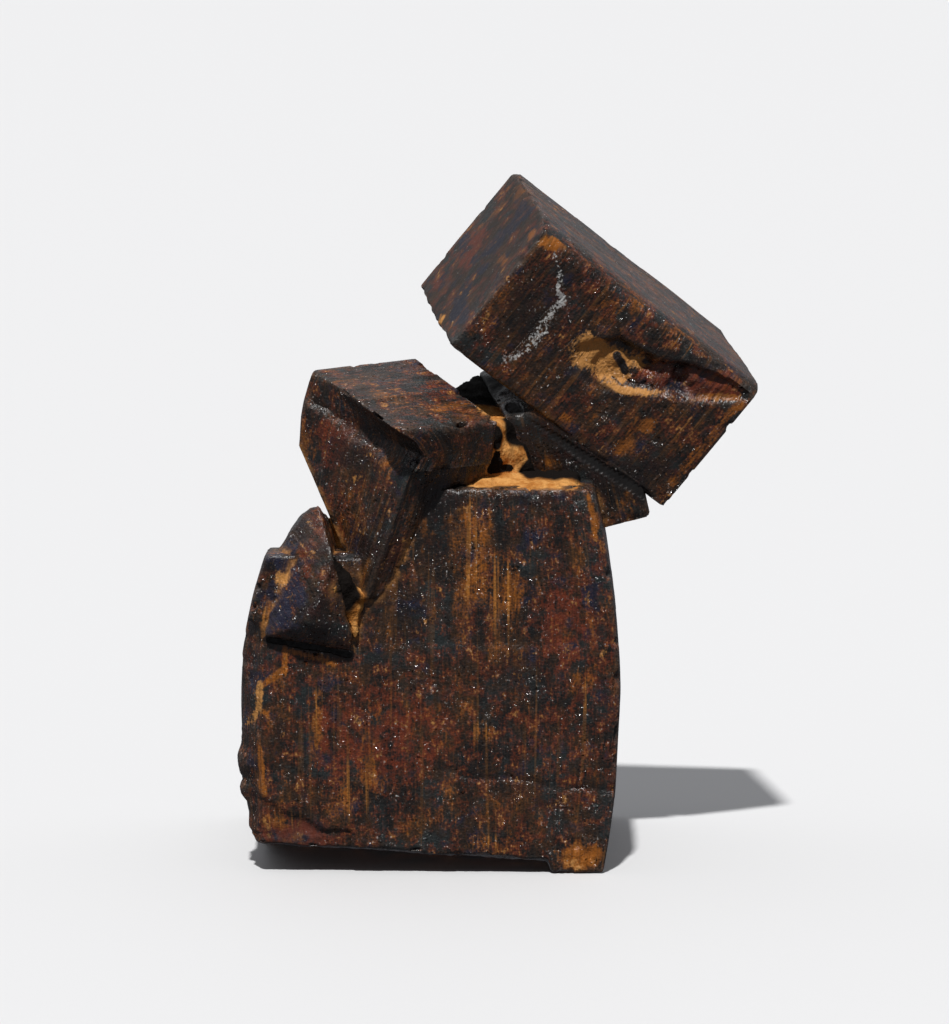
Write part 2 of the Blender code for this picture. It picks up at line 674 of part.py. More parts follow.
def build_cluster():
    """The whole specimen as one solid, in metres."""
    cluster = build_large_cube()
    middle_fields = ribs_for(MIDDLE_CUBE, 41)
    middle = build_cube("middle_cube", MIDDLE_CUBE, 0.3, middle_fields, (), 45, make_tabular_clearance)
    combine(cluster, middle, "UNION")
    combine(cluster, build_left_cube(), "UNION")
    combine(cluster, new_object("small_cube", lambda bm: add_hull(bm, SMALL_CUBE_CORNERS)), "UNION")
    combine(cluster, build_tabular_block(), "UNION")
    corner = new_object("corner_cube", make_cube(CORNER_CUBE.size, 0.12))
    corner.data.transform(CORNER_CUBE.matrix())
    combine(cluster, corner, "UNION")
    for wedge in CRUST_WEDGES:
        combine(cluster, new_object("crust", make_crust(wedge)), "UNION")
    cluster.name = NODE_NAME
    cluster.data.name = NODE_NAME
    cluster.data.transform(Matrix.Scale(MM, 4))
    cluster.data.materials.clear()
    cluster.data.materials.append(limonite())
    return cluster


def main():
    """Clears the scene and builds the specimen."""
    for obj in list(bpy.data.objects):
        bpy.data.objects.remove(obj)
    build_cluster()


main()
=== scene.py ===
"""A limonite pseudomorph after pyrite: striated cubes grown through one another, lit for a portrait.

Each crystal is a fine block whose faces carry growth lines, made by one Geometry Nodes tree. Its own
features, such as steps, breaks and the worn hollow, are then pressed into it, and the crystals are
joined into one piece. Lengths are in metres, +Z is up and -Y is the front.
"""

import itertools
import logging
import math
from dataclasses import dataclass, field
from enum import Enum, IntEnum

import bmesh
import bpy
import numpy as np
from mathutils import Matrix, Vector
from mathutils.kdtree import KDTree


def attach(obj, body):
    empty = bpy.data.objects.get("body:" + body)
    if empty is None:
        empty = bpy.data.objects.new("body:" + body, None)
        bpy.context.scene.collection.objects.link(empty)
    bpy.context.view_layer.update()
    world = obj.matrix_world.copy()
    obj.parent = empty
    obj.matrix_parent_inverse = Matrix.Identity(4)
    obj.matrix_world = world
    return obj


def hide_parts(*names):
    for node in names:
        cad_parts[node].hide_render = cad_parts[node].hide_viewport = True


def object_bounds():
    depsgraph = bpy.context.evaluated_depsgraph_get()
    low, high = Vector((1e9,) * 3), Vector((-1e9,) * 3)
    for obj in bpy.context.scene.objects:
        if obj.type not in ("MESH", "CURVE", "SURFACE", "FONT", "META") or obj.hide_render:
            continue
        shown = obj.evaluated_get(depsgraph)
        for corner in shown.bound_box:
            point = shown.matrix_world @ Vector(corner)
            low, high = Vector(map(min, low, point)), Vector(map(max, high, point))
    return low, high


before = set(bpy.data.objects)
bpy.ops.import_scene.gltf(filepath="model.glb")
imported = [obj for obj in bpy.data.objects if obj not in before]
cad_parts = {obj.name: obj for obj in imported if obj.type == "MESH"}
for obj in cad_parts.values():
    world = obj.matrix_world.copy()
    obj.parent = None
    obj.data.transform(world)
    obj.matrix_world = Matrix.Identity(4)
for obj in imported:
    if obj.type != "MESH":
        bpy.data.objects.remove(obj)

MM = 0.001
TINY = 1e-9
HASH_STEPS = (73856093, 19349663, 83492791)
HASH_SEED_STEP = 265443576
HASH_MIX = 1274126177
NODE_NAME = "crystal_cluster"
CAD_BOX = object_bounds()
log = logging.getLogger("limonite")

Point = tuple[float, float, float]
Point6 = tuple[float, float, float, float, float, float]


class Axis(IntEnum):
    """The axes of a crystal, as places in a coordinate."""

    X = 0
    Y = 1
    Z = 2


# On a face square to an axis, the growth lines run along the second axis and repeat across the first
GROWTH = {Axis.X: (Axis.Y, Axis.Z), Axis.Y: (Axis.X, Axis.Z), Axis.Z: (Axis.Y, Axis.X)}
# A face's number tells its crystal by tens of the first step, and its side by the second
SEED_STEP = 0.01
SIDE_STEP = 0.003


class Stain(Enum):
    """What lies over the dark base, each with the attribute and channel that its mask is kept in."""

    OCHRE = ("stain_warm", 0)
    RUST = ("stain_warm", 1)
    MAROON = ("stain_warm", 2)
    BLUE = ("stain_cool", 0)
    # Black tarnish, and painted shade where it is strongest: near black in deep gaps and shadowed places
    BLACK = ("stain_cool", 1)
    VEIN = ("stain_cool", 2)
    SMOOTH = ("polish", 0)
    GLINT = ("polish", 1)


def smooth_step(values: np.ndarray, low: float, high: float) -> np.ndarray:
    """Rises smoothly from 0 at low to 1 at high.

    Args:
        values: Numbers of any shape.
        low: Where the rise starts.
        high: Where it ends. It may be under low, and then the values fall.

    Returns:
        Numbers from 0 to 1 in the same shape.
    """
    share = np.clip((values - low) / (high - low), 0.0, 1.0)
    return share * share * (3.0 - 2.0 * share)


def value_noise(points: np.ndarray, cell: float | Point, seed: int) -> np.ndarray:
    """Smooth noise that changes over one cell.

    Args:
        points: Places, one row each.
        cell: The size of a cell, in the same unit, alike or different along the three axes.
        seed: Picks the pattern.

    Returns:
        One number from -1 to 1 for each place.
    """
    scaled = points / np.asarray(cell)
    corner = np.floor(scaled).astype(np.int64)
    part = scaled - corner
    fade = part**3 * (part * (part * 6.0 - 15.0) + 10.0)
    total = np.zeros(len(points))
    for offset in itertools.product((0, 1), repeat=3):
        node = corner + offset
        mixed = np.bitwise_xor.reduce(node * HASH_STEPS, axis=1) ^ seed * HASH_SEED_STEP
        mixed = ((mixed ^ (mixed >> 13)) * HASH_MIX) & 0xFFFFFFFF
        value = ((mixed ^ (mixed >> 16)) & 0xFFFF) / 32767.5 - 1.0
        total += value * np.prod(np.where(np.array(offset), fade, 1.0 - fade), axis=1)
    return total


def rough_noise(points: np.ndarray, cell: float, seed: int, octaves: int = 3) -> np.ndarray:
    """Several layers of noise, each half as large and half as strong as the last.

    Args:
        points: Places, one row each.
        cell: The size of the first layer's cells.
        seed: Picks the pattern.
        octaves: How many layers.

    Returns:
        One number from about -1 to 1 for each place.
    """
    usual_reach = 1.6
    total = np.zeros(len(points))
    for layer in range(octaves):
        total += value_noise(points, cell / 2**layer, seed + layer) / 2**layer
    return total / usual_reach


def read_numbers(elements: bpy.types.bpy_prop_collection, key: str, width: int, kind: type) -> np.ndarray:
    """One property of all of a mesh's elements.

    Args:
        elements: Its vertices, edges, loops, polygons or an attribute's data.
        key: The property.
        width: How many numbers it has.
        kind: Their type.

    Returns:
        One row for each element, or one number each where width is 1.
    """
    flat = np.empty(len(elements) * width, kind)
    elements.foreach_get(key, flat)
    return flat.reshape(-1, width) if width > 1 else flat


def store_vectors(mesh: bpy.types.Mesh, name: str, domain: str, values: np.ndarray) -> None:
    """Stores a triple at each point or face corner, as an attribute that the materials read."""
    attribute = mesh.attributes.new(name, "FLOAT_VECTOR", domain)
    attribute.data.foreach_set("vector", values.astype(np.float32).ravel())


def mesh_points(mesh: bpy.types.Mesh) -> np.ndarray:
    """The mesh's vertices, one row each."""
    return read_numbers(mesh.vertices, "co", 3, np.float32).astype(np.float64)


def set_mesh_points(mesh: bpy.types.Mesh, points: np.ndarray) -> None:
    """Moves the mesh's vertices to these places."""
    mesh.vertices.foreach_set("co", points.astype(np.float32).ravel())
    mesh.update()


def mesh_normals(mesh: bpy.types.Mesh) -> np.ndarray:
    """The mesh's vertex normals, one row each."""
    return read_numbers(mesh.vertex_normals, "vector", 3, np.float32).astype(np.float64)


def hull_mesh(name: str, corners: list[Vector]) -> bpy.types.Mesh:
    """The closed body over these corners.

    Args:
        name: What it is called.
        corners: Its corners. Those that lie inside the others are left out.

    Returns:
        The mesh.
    """
    bm = bmesh.new()
    for corner in corners:
        bm.verts.new(corner)
    found = bmesh.ops.convex_hull(bm, input=list(bm.verts))
    unused = found["geom_interior"] + found["geom_unused"]
    spare = {item for item in unused if isinstance(item, bmesh.types.BMVert)}
    bmesh.ops.delete(bm, geom=list(spare), context="VERTS")
    bmesh.ops.recalc_face_normals(bm, faces=bm.faces)
    mesh = bpy.data.meshes.new(name)
    bm.to_mesh(mesh)
    bm.free()
    return mesh


def new_object(name: str, mesh: bpy.types.Mesh) -> bpy.types.Object:
    """An object in the scene that shows this mesh."""
    obj = bpy.data.objects.new(name, mesh)
    bpy.context.scene.collection.objects.link(obj)
    return obj


def settle(obj: bpy.types.Object) -> None:
    """Turns the object's modifiers into plain mesh, and removes them."""
    graph = bpy.context.evaluated_depsgraph_get()
    settled = bpy.data.meshes.new_from_object(obj.evaluated_get(graph))
    obj.modifiers.clear()
    old = obj.data
    obj.data = settled
    bpy.data.meshes.remove(old)


@dataclass(frozen=True)
class Finishes:
    """The two materials of the specimen.

    Attributes:
        skin: The crystals' skin.
        earth: The earthy crust.
    """

    skin: bpy.types.Material
    earth: bpy.types.Material

    SKIN = 0
    EARTH = 1

    def dress(self, obj: bpy.types.Object, index: int) -> None:
        """Gives an object both materials, in the same order for every body, and shows one of them.

        Args:
            obj: The object.
            index: SKIN or EARTH.
        """
        obj.data.materials.clear()
        obj.data.materials.append(self.skin)
        obj.data.materials.append(self.earth)
        obj.data.polygons.foreach_set("material_index", np.full(len(obj.data.polygons), index, np.int32))


def round_edge(points: np.ndarray, half: np.ndarray, sides: dict[Axis, int], radius: float) -> np.ndarray:
    """Rounds one edge of a block, or one corner, to a larger radius than the others have.

    Args:
        points: The block's points about its middle.
        half: Half its sides.
        sides: The faces that meet there, as an axis and the sign of its side.
        radius: The radius.

    Returns:
        The rounded points.
    """
    axes = [int(axis) for axis in sides]
    signs = np.array(list(sides.values()), float)
    local = points[:, axes] * signs
    core = half[axes] - radius
    over = np.clip(local - core, 0.0, None)
    reach = np.linalg.norm(over, axis=1)
    inside = (over > 0).all(axis=1)
    shorter = np.minimum(np.where(inside, radius / np.maximum(reach, TINY), 1.0), 1.0)
    rounded = (core + over * shorter[:, None]) * signs
    points[:, axes] = np.where(inside[:, None], rounded, points[:, axes])
    return points


def combine(base: bpy.types.Object, tool: bpy.types.Object, operation: str) -> None:
    """Applies a Boolean of the tool to the base, and removes the tool.

    Args:
        base: The closed body that is changed.
        tool: The closed body that is added to it or taken from it.
        operation: UNION or DIFFERENCE.
    """
    modifier = base.modifiers.new("combine", "BOOLEAN")
    modifier.operation = operation
    modifier.solver = "MANIFOLD"
    modifier.object = tool
    settle(base)
    spent = tool.data
    bpy.data.objects.remove(tool)
    bpy.data.meshes.remove(spent)


class Nodes:
    """Adds nodes to one tree and joins their sockets."""

    def __init__(self, tree: bpy.types.NodeTree) -> None:
        """Starts on a tree.

        Args:
            tree: The Geometry Nodes or shader tree to add to.
        """
        self.tree = tree

    def add(self, kind: str, **settings: object) -> bpy.types.Node:
        """Adds a node and gives it these settings."""
        node = self.tree.nodes.new(kind)
        for name, value in settings.items():
            setattr(node, name, value)
        return node

    def feed(self, socket: bpy.types.NodeSocket, value: object) -> None:
        """Links a socket to an input, or sets a plain value on it."""
        if isinstance(value, bpy.types.NodeSocket):
            self.tree.links.new(value, socket)
        else:
            socket.default_value = value

    def math(self, operation: str, *values: object, clamp: bool = False) -> bpy.types.NodeSocket:
        """A Math node's result.

        Args:
            operation: The node's operation.
            values: Sockets or numbers, in the order of its inputs.
            clamp: Keeps the result from 0 to 1.

        Returns:
            The output socket.
        """
        node = self.add("ShaderNodeMath", operation=operation, use_clamp=clamp)
        for socket, value in zip(node.inputs, values):
            self.feed(socket, value)
        return node.outputs[0]

    def vector(self, operation: str, *values: object) -> bpy.types.NodeSocket:
        """A Vector Math node's vector result. Its values are sockets or triples."""
        node = self.add("ShaderNodeVectorMath", operation=operation)
        for socket, value in zip(node.inputs, values):
            self.feed(socket, value)
        return node.outputs[0]

    def scaled(self, vector: bpy.types.NodeSocket, factor: object) -> bpy.types.NodeSocket:
        """A vector times a number."""
        node = self.add("ShaderNodeVectorMath", operation="SCALE")
        self.feed(node.inputs[0], vector)
        self.feed(node.inputs["Scale"], factor)
        return node.outputs[0]

    def split(self, vector: bpy.types.NodeSocket) -> list[bpy.types.NodeSocket]:
        """The X, Y and Z of a vector."""
        node = self.add("ShaderNodeSeparateXYZ")
        self.feed(node.inputs[0], vector)
        return list(node.outputs)

    def joined(self, *parts: object) -> bpy.types.NodeSocket:
        """A vector made of three numbers or sockets."""
        node = self.add("ShaderNodeCombineXYZ")
        for socket, value in zip(node.inputs, parts):
            self.feed(socket, value)
        return node.outputs[0]

    def noise(
        self, vector: object, scale: object, detail: float = 2.0, roughness: float = 0.5
    ) -> bpy.types.NodeSocket:
        """A Noise Texture's factor.

        Args:
            vector: Where it is read.
            scale: How many cells there are in a unit.
            detail: How many finer layers are added.
            roughness: How strong these are.

        Returns:
            The factor's socket, from 0 to 1.
        """
        node = self.add("ShaderNodeTexNoise")
        self.feed(node.inputs["Vector"], vector)
        self.feed(node.inputs["Scale"], scale)
        self.feed(node.inputs["Detail"], detail)
        self.feed(node.inputs["Roughness"], roughness)
        return node.outputs[0]

    def cells(self, vector: object, scale: object, feature: str = "F1") -> bpy.types.Node:
        """A Voronoi Texture node. Its first output is the distance and its second a colour for each cell."""
        node = self.add("ShaderNodeTexVoronoi", feature=feature)
        self.feed(node.inputs["Vector"], vector)
        self.feed(node.inputs["Scale"], scale)
        return node

    def ramp(
        self, value: object, low: float, high: float, to_low: float = 0.0, to_high: float = 1.0
    ) -> bpy.types.NodeSocket:
        """Brings a number from one range to another with soft ends.

        Args:
            value: The number.
            low: Where the rise starts.
            high: Where it ends.
            to_low: The result at the start.
            to_high: The result at the end.

        Returns:
            The result's socket.
        """
        node = self.add("ShaderNodeMapRange", interpolation_type="SMOOTHSTEP")
        for socket, number in zip(node.inputs, (value, low, high, to_low, to_high)):
            self.feed(socket, number)
        return node.outputs[0]

    def blend(self, share: object, first: object, second: object) -> bpy.types.NodeSocket:
        """Mixes two colours: the second shows where share is 1."""
        node = self.add("ShaderNodeMix", data_type="RGBA")
        self.feed(node.inputs["Factor"], share)
        colours = [socket for socket in node.inputs if socket.type == "RGBA"]
        for socket, value in zip(colours, (first, second)):
            self.feed(socket, value)
        return next(socket for socket in node.outputs if socket.type == "RGBA")

    def stored(self, name: str) -> list[bpy.types.NodeSocket]:
        """The three channels of an attribute of the mesh."""
        return self.split(self.add("ShaderNodeAttribute", attribute_name=name).outputs["Vector"])

    def place(self) -> bpy.types.NodeSocket:
        """The place on the object."""
        return self.add("ShaderNodeTexCoord").outputs["Object"]

    def bump(self, height: object, distance: float, normal: object = None) -> bpy.types.NodeSocket:
        """A Bump node's normal, at full strength.

        Args:
            height: The relief, from about 0 to 1.
            distance: How far 1 stands out.
            normal: The normal that it starts from, if it isn't the surface's own.

        Returns:
            The normal's socket.
        """
        node = self.add("ShaderNodeBump")
        node.inputs["Strength"].default_value = 1.0
        node.inputs["Distance"].default_value = distance
        self.feed(node.inputs["Height"], height)
        if normal is not None:
            self.feed(node.inputs["Normal"], normal)
        return node.outputs["Normal"]


def new_material(name: str) -> tuple[bpy.types.Material, Nodes, bpy.types.Node]:
    """A material, with its builder and its Principled BSDF."""
    material = bpy.data.materials.new(name)
    material.use_nodes = True
    return material, Nodes(material.node_tree), material.node_tree.nodes["Principled BSDF"]


@dataclass(frozen=True)
class Placement:
    """Where a crystal's middle is, and how it is turned, nodded back and leaned.

    Attributes:
        centre: Its middle.
        turn: Its turn about Z, in degrees.
        nod: Its turn about X, in degrees.
        lean: Its turn about Y, in degrees, which comes first.
    """

    centre: Point
    turn: float = 0.0
    nod: float = 0.0
    lean: float = 0.0

    def matrix(self) -> Matrix:
        """From the crystal's own frame to the specimen's."""
        spin = (
            Matrix.Rotation(math.radians(self.turn), 4, "Z")
            @ Matrix.Rotation(math.radians(self.nod), 4, "X")
            @ Matrix.Rotation(math.radians(self.lean), 4, "Y")
        )
        return Matrix.Translation(self.centre) @ spin


@dataclass(frozen=True)
class Relief:
    """How coarse a crystal's growth relief is.

    Attributes:
        edge_radius: The rounding of its edges.
        line_spacing: How far apart the growth lines are.
        line_stretch: How many times as long as it is wide a line's pattern is.
        line_height: How far the lines stand out.
        ledge_height: How far the wider ledges stand out.
        chip_depth: How deep its edges are chipped.
    """

    edge_radius: float = 0.26 * MM
    line_spacing: float = 0.42 * MM
    line_stretch: float = 16.0
    line_height: float = 0.10 * MM
    ledge_height: float = 0.10 * MM
    chip_depth: float = 0.55 * MM


class StriatedBlock:
    """The Geometry Nodes tree of a crystal: a fine block with rounded edges and growth lines on its faces."""

    NAME = "striated_block"
    INPUTS = (
        ("Size", "NodeSocketVector"),
        ("Points X", "NodeSocketInt"),
        ("Points Y", "NodeSocketInt"),
        ("Points Z", "NodeSocketInt"),
        ("Edge Radius", "NodeSocketFloat"),
        ("Line Spacing", "NodeSocketFloat"),
        ("Line Stretch", "NodeSocketFloat"),
        ("Line Height", "NodeSocketFloat"),
        ("Ledge Height", "NodeSocketFloat"),
        ("Seed", "NodeSocketFloat"),
        ("Material", "NodeSocketMaterial"),
    )
    LEDGE_WIDTH_IN_LINES = 3.2
    LEDGE_BASE = 0.7
    STRIP_SHARE = 0.45
    FACE_SHARPNESS = 6.0
    FIRST_FACE = 7.3
    NEXT_FACE = 3.1

    def __init__(self) -> None:
        """Makes the tree."""
        self.tree = bpy.data.node_groups.new(self.NAME, "GeometryNodeTree")
        self.sockets: dict[str, str] = {}
        for name, kind in self.INPUTS:
            socket = self.tree.interface.new_socket(name, in_out="INPUT", socket_type=kind)
            self.sockets[name] = socket.identifier
        self.tree.interface.new_socket("Geometry", in_out="OUTPUT", socket_type="NodeSocketGeometry")
        self._fill()

    def _height(
        self, nodes: Nodes, given: bpy.types.Node, place: object, way: object
    ) -> bpy.types.NodeSocket:
        """How far the surface stands out at a place, from the lines and ledges of the face that it is on.

        Args:
            nodes: The tree's builder.
            given: The Group Input node.
            place: The place on the plain block.
            way: The block's outward direction there.

        Returns:
            The height's socket.
        """
        at = nodes.split(place)
        out = nodes.split(way)
        total: object = 0.0
        for axis in Axis:
            across, along = GROWTH[axis]
            share = nodes.math("POWER", nodes.math("ABSOLUTE", out[axis]), self.FACE_SHARPNESS)
            apart = self.FIRST_FACE + self.NEXT_FACE * axis
            side = nodes.math("MULTIPLY_ADD", nodes.math("SIGN", out[axis]), apart, given.outputs["Seed"])
            width = nodes.math("DIVIDE", at[across], given.outputs["Line Spacing"])
            long = nodes.math("DIVIDE", at[along], given.outputs["Line Spacing"])
            long = nodes.math("DIVIDE", long, given.outputs["Line Stretch"])
            drawn = nodes.joined(width, long, side)
            line = nodes.math("SUBTRACT", nodes.noise(drawn, 1.0, 2.0, 0.6), 0.5)
            crisp = nodes.cells(drawn, 0.8)
            strip = nodes.math("SUBTRACT", nodes.split(crisp.outputs[1])[0], 0.5)
            line = nodes.math("ADD", line, nodes.math("MULTIPLY", strip, self.STRIP_SHARE))
            lines = nodes.math("MULTIPLY", line, given.outputs["Line Height"])
            ledge = nodes.cells(drawn, 1.0 / self.LEDGE_WIDTH_IN_LINES)
            level = nodes.math("SUBTRACT", nodes.split(ledge.outputs[1])[1], self.LEDGE_BASE)
            ledges = nodes.math("MULTIPLY", level, given.outputs["Ledge Height"])
            face = nodes.math("MULTIPLY", nodes.math("ADD", lines, ledges), share)
            total = nodes.math("ADD", total, face)
        return total

    def _fill(self) -> None:
        """Adds the tree's nodes."""
        nodes = Nodes(self.tree)
        given = nodes.add("NodeGroupInput")
        result = nodes.add("NodeGroupOutput")
        block = nodes.add("GeometryNodeMeshCube")
        nodes.feed(block.inputs["Size"], given.outputs["Size"])
        for axis in Axis:
            nodes.feed(block.inputs[f"Vertices {axis.name}"], given.outputs[f"Points {axis.name}"])
        place = nodes.add("GeometryNodeInputPosition").outputs[0]
        radius = nodes.joined(*[given.outputs["Edge Radius"]] * 3)
        core = nodes.vector("SUBTRACT", nodes.scaled(given.outputs["Size"], 0.5), radius)
        held = nodes.vector("MAXIMUM", nodes.vector("MINIMUM", place, core), nodes.scaled(core, -1.0))
        way = nodes.vector("NORMALIZE", nodes.vector("SUBTRACT", place, held))
        height = self._height(nodes, given, place, way)
        reach = nodes.math("ADD", given.outputs["Edge Radius"], height)
        moved = nodes.add("GeometryNodeSetPosition")
        nodes.feed(moved.inputs["Geometry"], block.outputs["Mesh"])
        nodes.feed(moved.inputs["Position"], nodes.vector("ADD", held, nodes.scaled(way, reach)))
        real = nodes.add("GeometryNodeRealizeInstances")
        nodes.feed(real.inputs[0], moved.outputs[0])
        dressed = nodes.add("GeometryNodeSetMaterial")
        nodes.feed(dressed.inputs["Geometry"], real.outputs[0])
        nodes.feed(dressed.inputs["Material"], given.outputs["Material"])
        nodes.feed(result.inputs[0], dressed.outputs[0])

    def grow(self, name: str, values: dict[str, object]) -> bpy.types.Object:
        """Makes one block as a plain mesh.

        Args:
            name: The object's name.
            values: The tree's inputs by name.

        Returns:
            The object, about its own middle.
        """
        obj = new_object(name, bpy.data.meshes.new(name))
        modifier = obj.modifiers.new("grow", "NODES")
        modifier.node_group = self.tree
        for label, value in values.items():
            modifier[self.sockets[label]] = value
        settle(obj)
        return obj


@dataclass
class Crystal:
    """One crystal: a striated block with features of its own.

    Attributes:
        name: What it is called.
        size: Its sides.
        placement: Where it stands and how it is turned.
        spacing: How far apart its points are along its three axes.
        seed: Picks the pattern of its relief.
        relief: How coarse its relief is.
    """

    name: str
    size: Point
    placement: Placement
    spacing: Point
    seed: int
    relief: Relief = field(default_factory=Relief)

    CHIP_CELL = 0.9 * MM
    CHIP_REACH = 0.7 * MM
    SWAY_CELL = 4.5 * MM
    SWAY = 0.07 * MM

    def carve(self, points: np.ndarray) -> np.ndarray:
        """The crystal's own features.

        Args:
            points: Its points in its own frame.

        Returns:
            The points with these features.
        """
        return points

    def chip(self, points: np.ndarray) -> np.ndarray:
        """Nicks the edges: points near two faces at once are pressed in where a noise is strong.

        Args:
            points: The crystal's points in its own frame.

        Returns:
            The nicked points.
        """
        half = np.array(self.size) / 2
        gap = np.sort(half - np.abs(points), axis=1)
        near_edge = smooth_step(gap[:, 1], self.CHIP_REACH, 0.1 * MM)
        worn = 0.08 + 1.6 * np.clip(rough_noise(points, self.CHIP_CELL, self.seed + 50) - 0.25, 0.0, 1.0)
        inward = -np.sign(points) * smooth_step(half - np.abs(points), 1.0 * MM, 0.0)
        return points + inward * (near_edge * worn * self.relief.chip_depth)[:, None]

    def sway(self, points: np.ndarray) -> np.ndarray:
        """Bends the faces a little out of true, as grown faces are."""
        half = np.array(self.size) / 2
        bend = np.stack([value_noise(points, self.SWAY_CELL, self.seed + 60 + axis) for axis in Axis], axis=1)
        return points + self.SWAY * bend * smooth_step(np.abs(points) / half, 0.3, 1.0)

    def growth_attribute(self, mesh: bpy.types.Mesh) -> None:
        """Stores, at each face corner, its place across and along the growth lines and the face's number."""
        normals = read_numbers(mesh.polygons, "normal", 3, np.float32)
        axis = np.abs(normals).argmax(axis=1)
        sign = np.sign(normals[np.arange(len(normals)), axis])
        loops = read_numbers(mesh.polygons, "loop_total", 1, np.int32)
        vertex = read_numbers(mesh.loops, "vertex_index", 1, np.int32)
        axis, sign = np.repeat(axis, loops), np.repeat(sign, loops)
        across = np.array([GROWTH[a][0] for a in Axis])[axis]
        along = np.array([GROWTH[a][1] for a in Axis])[axis]
        rows = np.arange(len(vertex))
        at = mesh_points(mesh)[vertex]
        layer = SEED_STEP * (self.seed + axis) + SIDE_STEP * sign
        store_vectors(mesh, "growth", "CORNER", np.stack([at[rows, across], at[rows, along], layer], axis=1))

    def build(self, tree: StriatedBlock, finishes: Finishes) -> bpy.types.Object:
        """Makes the crystal in its place.

        Args:
            tree: The tree that makes the block.
            finishes: The specimen's materials.

        Returns:
            The crystal's object.
        """
        counts = [max(2, round(side / step)) for side, step in zip(self.size, self.spacing)]
        values = {f"Points {axis.name}": counts[axis] for axis in Axis} | {
            "Size": self.size,
            "Edge Radius": self.relief.edge_radius,
            "Line Spacing": self.relief.line_spacing,
            "Line Stretch": self.relief.line_stretch,
            "Line Height": self.relief.line_height,
            "Ledge Height": self.relief.ledge_height,
            "Seed": float(self.seed),
            "Material": finishes.skin,
        }
        obj = tree.grow(self.name, values)
        finishes.dress(obj, Finishes.SKIN)
        self.growth_attribute(obj.data)
        points = self.carve(self.chip(self.sway(mesh_points(obj.data))))
        set_mesh_points(obj.data, points)
        obj.data.transform(self.placement.matrix())
        log.info("%s: %d faces", self.name, len(obj.data.polygons))
        return obj


